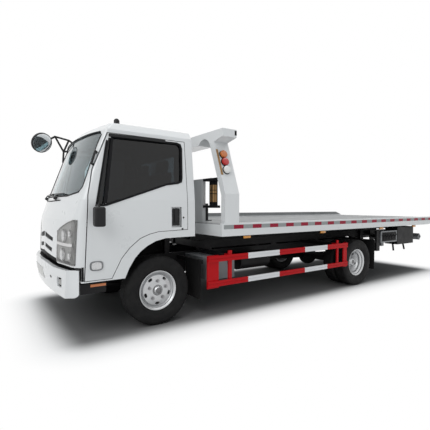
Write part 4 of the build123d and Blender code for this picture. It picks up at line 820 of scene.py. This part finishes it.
screen_glass = glass("screen_glass", (0.60, 0.76, 0.80), 0.0, 2.0)
dress(screen_glass, "cab_glass")
door_tint = glass("door_tint", (0.03, 0.036, 0.042), 0.0, 2.0)
door_tint.node_tree.nodes["Principled BSDF"].inputs["Specular IOR Level"].default_value = 0.3
dress(door_tint, "door_glass_left", "door_glass_right")
lens_clear = glass("lens_clear", (0.93, 0.94, 0.95), 0.02, 60.0)
lamp_silver = coated("lamp_silver", (0.62, 0.62, 0.62), (0.10, 0.2), 120, 0.05, film=0.0, metal=0.9)
lamp_white = coated("lamp_white", (0.80, 0.80, 0.78), (0.25, 0.35), 200, 0.05, film=0.0)
window_edge = ((0.688, 1.352), (0.556, 2.030), (0.528, 2.030), (0.505, 2.035), (-0.228, 2.046),
               (-0.264, 2.034), (-0.277, 1.998), (-0.262, 1.662), (-0.252, 1.622), (-0.215, 1.606),
               (-0.070, 1.585), (0.600, 1.356), (0.632, 1.352))
for side_name, side in both_sides:
    body = f"door_{side_name}"
    door_skin = skin(body)
    look = (0, -side, 0)
    bm = bmesh.new()
    trim(bm, door_skin, window_edge, look, 0.020, 0.004, around=True, reveal=0.016)
    # The bar before the quarter glass covers the strip of steel between the two openings.
    trim(bm, door_skin, ((0.6315, 1.3555), (0.5280, 2.0285)), look, -0.019, 0.006, reveal=0.016)
    trim(bm, door_skin, ((0.5995, 1.3600), (0.5060, 2.0300)), look, 0.011, 0.006, reveal=0.016)
    keep(bm, f"door_seal_{side_name}", seal_rubber, body)
    bm = bmesh.new()
    trim(bm, door_skin, ((0.580, 2.071), (0.20, 2.0735), (-0.08, 2.074)), look, -0.030, 0.016, lift=0.003)
    keep(bm, f"wind_deflector_{side_name}", black_plastic, body)

    bm = bmesh.new()
    skin_y = side * 1.0
    bmesh.ops.create_circle(bm, cap_ends=True, segments=24, radius=0.011,
                            matrix=Matrix.Translation(spot(-0.275, skin_y + side * 0.0015, 1.205))
                            @ Matrix.Rotation(math.pi / 2, 4, "X"))
    rod(bm, spot(-0.262, skin_y - side * 0.002, 1.075), spot(-0.262, skin_y + side * 0.003, 1.075), 0.011, 20)
    slab(bm, spot(-0.212, side * 0.990, 1.15), spot(-0.162, side * 0.997, 1.31), 0.006)
    keep(bm, f"door_lock_{side_name}", black_plastic, body)

    # Side lamp: a clear lens over a bright cup, in a thin grey ring.
    centre = spot(0.702, side * 1.0, 0.745)
    for name, material, slot, half, out, ring in (
        ("side_lamp_ring", box_grey, "black_plastic", (0.066, 0.048), 0.005, True),
        ("side_lamp_cup", lamp_silver, "silver_steel", (0.055, 0.037), 0.003, False),
        ("side_lamp_lens", lens_clear, "lamp_lens", (0.060, 0.042), 0.016, False),
    ):
        bm = bmesh.new()
        rings = []
        levels = ((1.0, 0.0), (1.0, 0.6), (0.93, 0.9), (0.75, 1.0), (0.90, 0.5) if ring else (0.02, 1.05))
        for share, height in levels:
            loop = []
            for i in range(40):
                turn = 2 * math.pi * i / 40
                cos, sin = math.cos(turn), math.sin(turn)
                loop.append(bm.verts.new(centre + Vector((
                    half[0] * share * math.copysign(abs(cos) ** 0.6, cos), side * (out * height - 0.001),
                    half[1] * share * math.copysign(abs(sin) ** 0.6, sin)))))
            rings.append(loop)
        loft(bm, rings, caps=() if ring else (-1,))
        keep(bm, f"{name}_{side_name}", material, body)

# Grab handle on the left pillar, and the dome of the roof lamp.
bm = bmesh.new()
ends = []
for z in (1.75, 1.87):
    hit, normal = front_hit(cab_skin, 0.922 - (z - 1.75) * 0.1, z)
    ends.append((hit, normal, hit + normal * 0.022 + Vector((0, 0.012, 0))))
rod(bm, ends[0][2], ends[1][2], 0.012, 14)
for hit, normal, end in ends:
    rod(bm, hit - normal * 0.002, end, 0.014, 14)
    ball(bm, end, 0.014, rows=8)
keep(bm, "pillar_handle", black_plastic, "cab")

bm = bmesh.new()
roof_hit = cab_skin.ray_cast(spot(0.428, 0.80, 4), Vector((0, 0, -1)))[0]
ball(bm, roof_hit + Vector((0, 0, 0.024)), 0.030, 28, 16)
rod(bm, roof_hit - Vector((0, 0, 0.01)), roof_hit + Vector((0, 0, 0.022)), 0.031, 28, 0.95)
keep(bm, "roof_lamp", black_plastic, "cab")

# ---- headlamps
# One clear cover over a bright bowl with a round main lamp above, a dip lamp below and a bar between.
dress(lens_clear, "headlamps")
lamp_skin = skin("headlamps")


def turned(bm, centre, normal, profile, sides=48, cap=-1):
    """Turns (radius, height) pairs about a normal; cap is the end to fill, and None joins the ends."""
    plane = Vector(normal).to_track_quat("Z", "Y").to_matrix().to_4x4()
    plane.translation = centre
    angles = [2 * math.pi * j / sides for j in range(sides)]
    rings = [[bm.verts.new(plane @ Vector((radius * math.cos(a), radius * math.sin(a), height)))
              for a in angles] for radius, height in profile]
    loft(bm, rings, cap is None, () if cap is None else (cap,))


def dish(bm, centre, normal, radius, depth, steps=10, rim=0.006):
    """A bright bowl that opens along its normal, with a rolled rim."""
    bowl = [(max(radius * i / steps, 0.0008), -depth * (1 - (i / steps) ** 2)) for i in range(steps + 1)]
    turned(bm, centre, normal, [*bowl, (radius + rim, rim * 0.4), (radius + rim, -depth)], sides=40, cap=0)


# Grey housing: the cover's own sides and back, drawn in a little, line it like a box.
lamp_grey = coated("lamp_grey", (0.42, 0.42, 0.41), (0.25, 0.4), 200, 0.1, film=0.0, metal=0.3)
bm = bmesh.new()
bm.from_mesh(nodes["headlamps"].data)
bmesh.ops.delete(bm, geom=[face for face in bm.faces if face.normal.x > 0.5], context="FACES")
bm.normal_update()
for vert in bm.verts:
    vert.co -= vert.normal * 0.003
bmesh.ops.solidify(bm, geom=bm.faces[:], thickness=0.0015)
keep(bm, "lamp_housings", lamp_grey, "cab")

for side_name, side in both_sides:
    bowls, bars = bmesh.new(), bmesh.new()
    for y, z, radius in ((0.725, 1.035, 0.062), (0.700, 0.845, 0.062), (0.862, 1.060, 0.036),
                         (0.862, 0.845, 0.036)):
        hit, normal = front_hit(lamp_skin, side * y, z)
        toward = Vector((1, side * 0.12, 0)).normalized()
        dish(bowls, hit - Vector((1, 0, 0)) * 0.012 - normal * 0.004, toward, radius, 0.010)
        ball(bowls, hit - normal * 0.016, radius * 0.2, 16)
    # The bar between the two lamps.
    bar_line = ((0.560, 0.938), (0.72, 0.934), (0.86, 0.934), (0.935, 0.94))
    trim(bars, lamp_skin, [(side * y, z) for y, z in bar_line],
         (-1, 0, 0), side * -0.030, 0.0022)
    keep(bowls, f"lamp_bowls_{side_name}", lamp_silver, "cab")
    keep(bars, f"lamp_bar_{side_name}", lamp_silver, "cab")

# ---- bumper lamps and steps
# Fog lamps sit in the bumper's recesses; below each door an amber lamp lies on the black step.
bumper_skin = skin("bumper")
signal_amber = glass("signal_amber", (0.95, 0.30, 0.02), 0.05, 60.0)
amber_body = coated("amber_body", (0.60, 0.17, 0.035), (0.12, 0.2), 300, 0.05, film=0.02, coat=0.5)
red_body = coated("red_body", (0.50, 0.012, 0.012), (0.12, 0.2), 300, 0.05, film=0.02, coat=0.5)
fog_corners = ((0.692, 0.623), (0.798, 0.623), (0.798, 0.532), (0.692, 0.532))
step_start, step_pitch, step_width = 0.615, 0.027, 0.010
for side_name, side in both_sides:
    hit, normal = front_hit(bumper_skin, side * 0.745, 0.5775)
    bm = bmesh.new()
    dish(bm, hit + normal * 0.010, normal, 0.024, 0.008)
    keep(bm, f"fog_bowl_{side_name}", lamp_grey, "chassis")
    bm = bmesh.new()
    skin_patch(bm, bumper_skin, [(side * y, z) for y, z in fog_corners], 0.0003, 0.002)
    keep(bm, f"fog_panel_{side_name}", slot_black, "chassis")
    bm = bmesh.new()
    slab(bm, spot(0.602, side * 0.9645, 0.535), spot(0.755, side * 0.975, 0.562), 0.003)
    keep(bm, f"step_lamp_{side_name}", amber_body, "chassis")
    bm = bmesh.new()
    for i in range(9):
        along = step_start + i * step_pitch
        slab(bm, spot(along, side * 0.70, 0.5715), spot(along + step_width, side * 0.955, 0.5755), 0.0015)
    keep(bm, f"step_tread_{side_name}", chassis_black, "chassis")

# A blank number plate, with a dark round tow-eye cover on each side of it.
bm = bmesh.new()
plate_corners = ((-0.22, 0.655), (0.22, 0.655), (0.22, 0.535), (-0.22, 0.535))
skin_patch(bm, bumper_skin, plate_corners, 0.001, 0.003, steps=16)
plate_white = coated("plate_white", (0.62, 0.62, 0.60), (0.3, 0.4), 300, 0.1, film=0.03)
keep(bm, "number_plate", plate_white, "chassis")
bm = bmesh.new()
for y in (-0.52, 0.52):
    hit, normal = front_hit(bumper_skin, y, 0.60)
    rod(bm, hit - normal * 0.004, hit + normal * 0.0015, 0.016, 24)
keep(bm, "tow_eye_covers", slot_black, "chassis")

# ---- seats, dashboard and wheel
# Foam seats in dark woven cloth with head restraints; a moulded dashboard with a dark visor and dials.
seat_cloth = coated("seat_cloth", (0.035, 0.035, 0.040), (0.8, 0.95), 900, 0.8, film=0.0)
seat_low = span("seats")[0]
back_lean = math.radians(-98)


def cushion(name, centre, half, crown, lean=0.0, seams=()):
    """A crowned pad whose sides pull in between its corners, sunk along its sewn lines."""
    bm = bmesh.new()
    across, along = 28, 24
    side_pull, seam_depth, seam_width = 0.035, 0.010, 0.035
    turn = Matrix.Rotation(lean, 4, "Y")
    loops = {}
    for level in (1, -1):
        for i in range(across + 1):
            for j in range(along + 1):
                u, v = 2 * i / across - 1, 2 * j / along - 1
                pull_u = 1 - side_pull * (1 - v * v) * abs(u) ** 6
                pull_v = 1 - side_pull * (1 - u * u) * abs(v) ** 6
                edge = (1 - abs(u) ** 6) * (1 - abs(v) ** 6)
                rise = crown * (1 - u * u * 0.7) * (1 - v * v * 0.7) * edge
                for seam in seams:
                    rise -= seam_depth * math.exp(-((u - seam) / seam_width) ** 2) * edge
                base = half[2] * (0.55 + 0.45 * edge ** 0.25)
                z = level * base + (rise if level > 0 else -rise * 0.1)
                loops[level, i, j] = bm.verts.new(
                    Vector(centre) + turn @ Vector((v * half[0] * pull_v, u * half[1] * pull_u, z)))
    for level in (1, -1):
        for i in range(across):
            for j in range(along):
                bm.faces.new((loops[level, i, j], loops[level, i + 1, j], loops[level, i + 1, j + 1],
                              loops[level, i, j + 1]))
    rim = ([(i, 0) for i in range(across)] + [(across, j) for j in range(along)]
           + [(i, along) for i in range(across, 0, -1)] + [(0, j) for j in range(along, 0, -1)])
    for here, after in zip(rim, rim[1:] + rim[:1]):
        bm.faces.new((loops[1, *here], loops[1, *after], loops[-1, *after], loops[-1, *here]))
    piece = keep(bm, name, seat_cloth, "cab", angle=60)
    softer = piece.modifiers.new("softer", "SUBSURF")
    softer.levels = softer.render_levels = 1
    return piece


for name, y, half_y, seams in (("driver", 0.47, 0.25, (-0.55, 0.55)),
                               ("passenger", -0.315, 0.445, (-0.66, -0.05, 0.05, 0.62))):
    cushion(f"{name}_seat", spot(0.085, y, seat_low.z + 0.075), (0.235, half_y, 0.068),
                             0.020, 0.0, seams)
    cushion(f"{name}_back", spot(-0.205, y, seat_low.z + 0.43), (0.300, half_y, 0.048),
                             0.018, back_lean, seams)
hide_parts("seats")
for name, y in (("driver", 0.47), ("passenger", -0.53), ("middle", -0.12)):
    cushion(f"{name}_head_rest", spot(-0.262, y, seat_low.z + 0.80), (0.075, 0.125, 0.036), 0.014,
            back_lean)
    bm = bmesh.new()
    for dy in (-0.05, 0.05):
        rod(bm, spot(-0.262, y + dy, seat_low.z + 0.68), spot(-0.268, y + dy, seat_low.z + 0.75), 0.006, 10)
    keep(bm, f"{name}_rest_stalks", chrome, "cab")

bm = bmesh.new()
slab(bm, spot(0.64, 0.27, 1.30), spot(0.705, 0.66, 1.43), 0.02)
slab(bm, spot(0.66, -0.20, 1.14), spot(0.70, 0.16, 1.36), 0.012)
for y in (-0.70, -0.58, -0.08, 0.06, 0.78):
    slab(bm, spot(0.672, y - 0.045, 1.27), spot(0.694, y + 0.045, 1.33), 0.008)
keep(bm, "dash_fittings", black_plastic, "cab")

# ---- mirrors
# Silvered glass in black shells; the round one in front looks down on the bumper.
mirror_glass, tree, shader = finish("mirror_glass")
clouds = place(tree, "TexNoise", {"Scale": 6.0, "Detail": 2.0})
polish = place(tree, "MapRange", {"Value": clouds, "To Min": 0.05, "To Max": 0.09})
feed(tree, shader, {"Base Color": (0.72, 0.74, 0.75, 1), "Roughness": polish, "Metallic": 1.0})
for side_name, side in both_sides:
    bm = bmesh.new()
    slab(bm, spot(0.6505, side * 1.078, 1.158), spot(0.654, side * 1.142, 1.307), 0.001)
    keep(bm, f"side_mirror_glass_{side_name}", mirror_glass, f"door_{side_name}")
head, face = spot(0.905, -0.900, 2.210), Vector((-0.35, 0.85, -0.40)).normalized()
bm = bmesh.new()
turned(bm, head, face, ((0.0008, 0.012), (0.05, 0.0112), (0.09, 0.0090), (0.118, 0.0055), (0.130, 0.0015),
                        (0.130, -0.002)), 64, cap=0)
keep(bm, "round_mirror_glass", mirror_glass, "cab")
bm = bmesh.new()
turned(bm, head - face * 0.030, face, ((0.139, 0.016), (0.139, -0.004), (0.132, -0.012), (0.09, -0.020),
                                       (0.04, -0.026), (0.0008, -0.027)), 64)
keep(bm, "round_mirror_back", black_plastic, "cab")

# Rubber sleeves make the bracket's thin bars stouter.
joints = {"head": spot(0.880, -0.925, 2.225), "top": spot(0.735, -0.935, 2.325),
          "middle": spot(0.550, -0.935, 2.290), "elbow": spot(0.620, -0.945, 2.120),
          "foot": spot(0.634, -0.9186, 1.967), "roof": spot(0.370, -0.901, 2.165)}
bm = bmesh.new()
for start, end in (("head", "top"), ("top", "middle"), ("middle", "roof"), ("middle", "elbow"),
                   ("top", "elbow"), ("elbow", "foot"), ("elbow", "roof")):
    rod(bm, joints[start], joints[end], 0.0135, 14)
for joint in joints.values():
    ball(bm, joint, 0.0138)
keep(bm, "mirror_sleeves", black_plastic, "cab")

# ---- gantry lamps and fittings
# An amber, a red and a clear lamp in black rings on each leaning post, and a bronze valve block.
dress(signal_amber, "gantry_lamps")
bronze = coated("bronze", (0.32, 0.19, 0.08), (0.35, 0.55), 300, 0.4, film=0.05, metal=0.7)
dress(bronze, "valve_block")
post_skin = skin("gantry_posts")
lens_profile = ((0.0475, 0.001), (0.0475, 0.0300), (0.0455, 0.0385), (0.0400, 0.0420), (0.020, 0.0445),
                (0.0008, 0.0449))
ring_profile = ((0.0480, 0.0005), (0.0530, 0.0005), (0.0530, 0.012), (0.0505, 0.0145), (0.0480, 0.0145))
for side_name, side in both_sides:
    for z, name, material, slot in ((1.970, "upper", amber_body, "signal_lens"),
                                    (1.874, "middle", red_body, "signal_lens"),
                                    (1.774, "lower", lamp_white, "lamp_lens")):
        hit, normal, _, _ = post_skin.ray_cast(spot(-0.838, side * 3, z), Vector((0, -side, 0)))
        bm = bmesh.new()
        turned(bm, hit, normal, lens_profile)
        lamp = keep(bm, f"post_lamp_{name}_{side_name}", material, "bed")
        if name == "upper" and side > 0:
            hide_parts("gantry_lamps")
        bm = bmesh.new()
        turned(bm, hit, normal, ring_profile, cap=None)
        keep(bm, f"post_lamp_ring_{name}_{side_name}", slot_black, "bed")

# ---- wall, winch rope and beam ends
# A grey wall behind the cab, black bars round the bronze valve block, a wire rope wound on the
# drum, black caps on the ends of the gantry's beam, and a brown strip on each post.
wall_grey = coated("wall_grey", (0.68, 0.69, 0.695), (0.35, 0.5), 260, 0.15, film=0.05, coat=0.2)
dress(wall_grey, "front_wall")
bar_height = 0.03
bar_lap = Vector((0.0015, 0.0015, 0.0015))
low, high = span("valve_block")
bm = bmesh.new()
for z in (low.z, high.z - bar_height):
    slab(bm, Vector((low.x, low.y, z)) - bar_lap, Vector((high.x, high.y, z + bar_height)) + bar_lap, 0.001)
valve_x, valve_y = front_axle.x - 0.85, 0.77
for z, tall in ((low.z + 0.03, 0.045), (high.z - 0.08, 0.05), ((low.z + high.z) / 2 - 0.012, 0.010),
                ((low.z + high.z) / 2 + 0.035, 0.008)):
    rod(bm, (valve_x, valve_y, z), (valve_x, valve_y, z + tall), 0.0515, 32)
for turn in (0.6, 2.2, 3.9, 5.3):
    x, y = valve_x + 0.050 * math.cos(turn), valve_y + 0.050 * math.sin(turn)
    rod(bm, (x, y, low.z + 0.03), (x, y, high.z - 0.03), 0.007, 12)
rod(bm, (valve_x + 0.03, valve_y + 0.02, high.z - 0.004), (valve_x - 0.05, valve_y + 0.02, high.z + 0.010),
    0.011, 14)
keep(bm, "valve_bars", slot_black, "bed")

rope_steel = coated("rope_steel", (0.10, 0.095, 0.09), (0.4, 0.6), 500, 0.5, film=0.03, metal=0.6)
low, high = span("winch_drum")
drum = Vector(((low.x + high.x) / 2, 0, (low.z + high.z) / 2))
drum_radius, drum_half, rope_pitch = 0.0695, 0.186, 0.0124
rope_turns = int(2 * drum_half / rope_pitch)
winding = []
for i in range(rope_turns):
    y = -drum_half + (i + 0.5) * rope_pitch
    winding += [(drum_radius + rise, y + share * rope_pitch) for rise, share in (
        (0.0030, -0.5), (0.0095, -0.28), (0.0120, 0), (0.0095, 0.28))]
bm = bmesh.new()
spin(bm, [(drum_radius, -drum_half), *winding, (drum_radius, drum_half)], drum, 1, 72)
keep(bm, "winch_rope", rope_steel, "winch_drum")

low, high = span("gantry_beam")
bm = bmesh.new()
for side in (1, -1):
    slab(bm, (low.x - 0.001, side * (high.y - 0.020), high.z - 0.070),
         (low.x + 0.030, side * (high.y + 0.003), high.z - 0.012), 0.003)
keep(bm, "beam_caps", slot_black, "bed")

strip_edge = span("gantry_posts")[1].x - front_axle.x - 0.002
for side_name, side in both_sides:
    bm = bmesh.new()
    trim(bm, post_skin, ((strip_edge, 1.715), (strip_edge, 2.035)), (0, -side, 0), -0.030, 0.003)
    keep(bm, f"lamp_strip_{side_name}", bronze, "bed")

# ---- markers, levers, lids and tail lamps
# Amber markers hang under the bed's rails. The control boxes have a black lever plate, the battery
# box a lid, the fuel tank its straps, and the tail boxes their round lamps.
rail_side = span("side_rails")[1].y
rail_skin = skin("side_rails")
marker_places = (-1.10, -2.585, -4.216, -5.41)
marker_amber = coated("marker_amber", (0.72, 0.30, 0.04), (0.12, 0.2), 300, 0.05, film=0.02, coat=0.3)
for side_name, side in both_sides:
    lamps, feet = bmesh.new(), bmesh.new()
    for along in marker_places:
        x = front_axle.x + along
        y = side * (rail_side - 0.022)
        under = rail_skin.ray_cast(Vector((x, y, 0)), Vector((0, 0, 1)))[0].z
        slab(feet, (x - 0.062, y - side * 0.004, under - 0.040), (x + 0.062, y - side * 0.010, under), 0.001)
        slab(lamps, (x - 0.057, y - side * 0.003, under - 0.038),
             (x + 0.057, y + side * 0.014, under - 0.006), 0.005)
    keep(lamps, f"marker_lamps_{side_name}", marker_amber, "bed")
    keep(feet, f"marker_feet_{side_name}", slot_black, "bed")

    bm = bmesh.new()
    face_y = side * span("side_boxes")[1].y
    box_rear = front_axle.x - 4.85
    slab(bm, (box_rear + 0.030, face_y - side * 0.001, 0.705),
         (box_rear + 0.520, face_y + side * 0.002, 0.868), 0.001)
    for i in range(5):
        x = box_rear + 0.085 + i * 0.095
        knob = Vector((x, face_y + side * 0.034, 0.822))
        rod(bm, (x, face_y, 0.775), knob, 0.0045, 10)
        ball(bm, knob, 0.011)
        slab(bm, (x - 0.012, face_y, 0.735), (x + 0.012, face_y + side * 0.006, 0.800), 0.002)
    keep(bm, f"control_levers_{side_name}", slot_black, "chassis")

    for height, name, material in ((0.868, "stop", red_body), (0.752, "turn", amber_body)):
        centre = spot(-5.506, side * 0.97, height)
        bm = bmesh.new()
        turned(bm, centre, (-1, 0, 0), ((0.046, -0.001), (0.046, 0.020), (0.042, 0.026), (0.020, 0.030),
                                        (0.001, 0.031)))
        keep(bm, f"{name}_lamp_{side_name}", material, "tilt_frame")
        bm = bmesh.new()
        turned(bm, centre, (-1, 0, 0), ((0.0465, 0.0), (0.053, 0.0), (0.053, 0.010), (0.0465, 0.014)),
               cap=None)
        keep(bm, f"{name}_lamp_ring_{side_name}", slot_black, "tilt_frame")

bm = bmesh.new()
slab(bm, spot(-1.056, 0.56, 0.662), spot(-0.634, 0.965, 0.705), 0.006)
for along in (-0.95, -0.74):
    x = front_axle.x + along
    slab(bm, (x - 0.014, 0.963, 0.600), (x + 0.014, 0.970, 0.680), 0.002)
keep(bm, "battery_lid", box_grey, "chassis")

bm = bmesh.new()
tank_round, strap_thick, strap_half = 0.060, 0.003, 0.02
tank_left, tank_right, tank_low, tank_high = -0.47, -0.95, 0.39, 0.70
y_left, y_right = tank_left - tank_round, tank_right + tank_round
z_low, z_high = tank_low + tank_round, tank_high - tank_round
corners = ((y_left, z_high, 0), (y_right, z_high, 90), (y_right, z_low, 180), (y_left, z_low, 270))
strap_section = ((tank_round - 0.001, -strap_half), (tank_round + strap_thick, -strap_half),
                 (tank_round + strap_thick, strap_half), (tank_round - 0.001, strap_half))
for along in (-1.63, -1.12):
    loops = []
    for y, z, start in corners:
        for turn in (math.radians(start + 15 * step) for step in range(7)):
            loops.append([bm.verts.new(spot(along + out, y + r * math.cos(turn), z + r * math.sin(turn)))
                          for r, out in strap_section])
    loft(bm, loops, around=True)
keep(bm, "tank_straps", nut_steel, "chassis")
bm = bmesh.new()
turned(bm, spot(-1.20, -0.952, 0.62), (0, -1, 0.3), ((0.040, -0.03), (0.040, 0.012), (0.034, 0.018),
                                                     (0.001, 0.019)))
keep(bm, "tank_cap", slot_black, "chassis")

low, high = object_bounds()
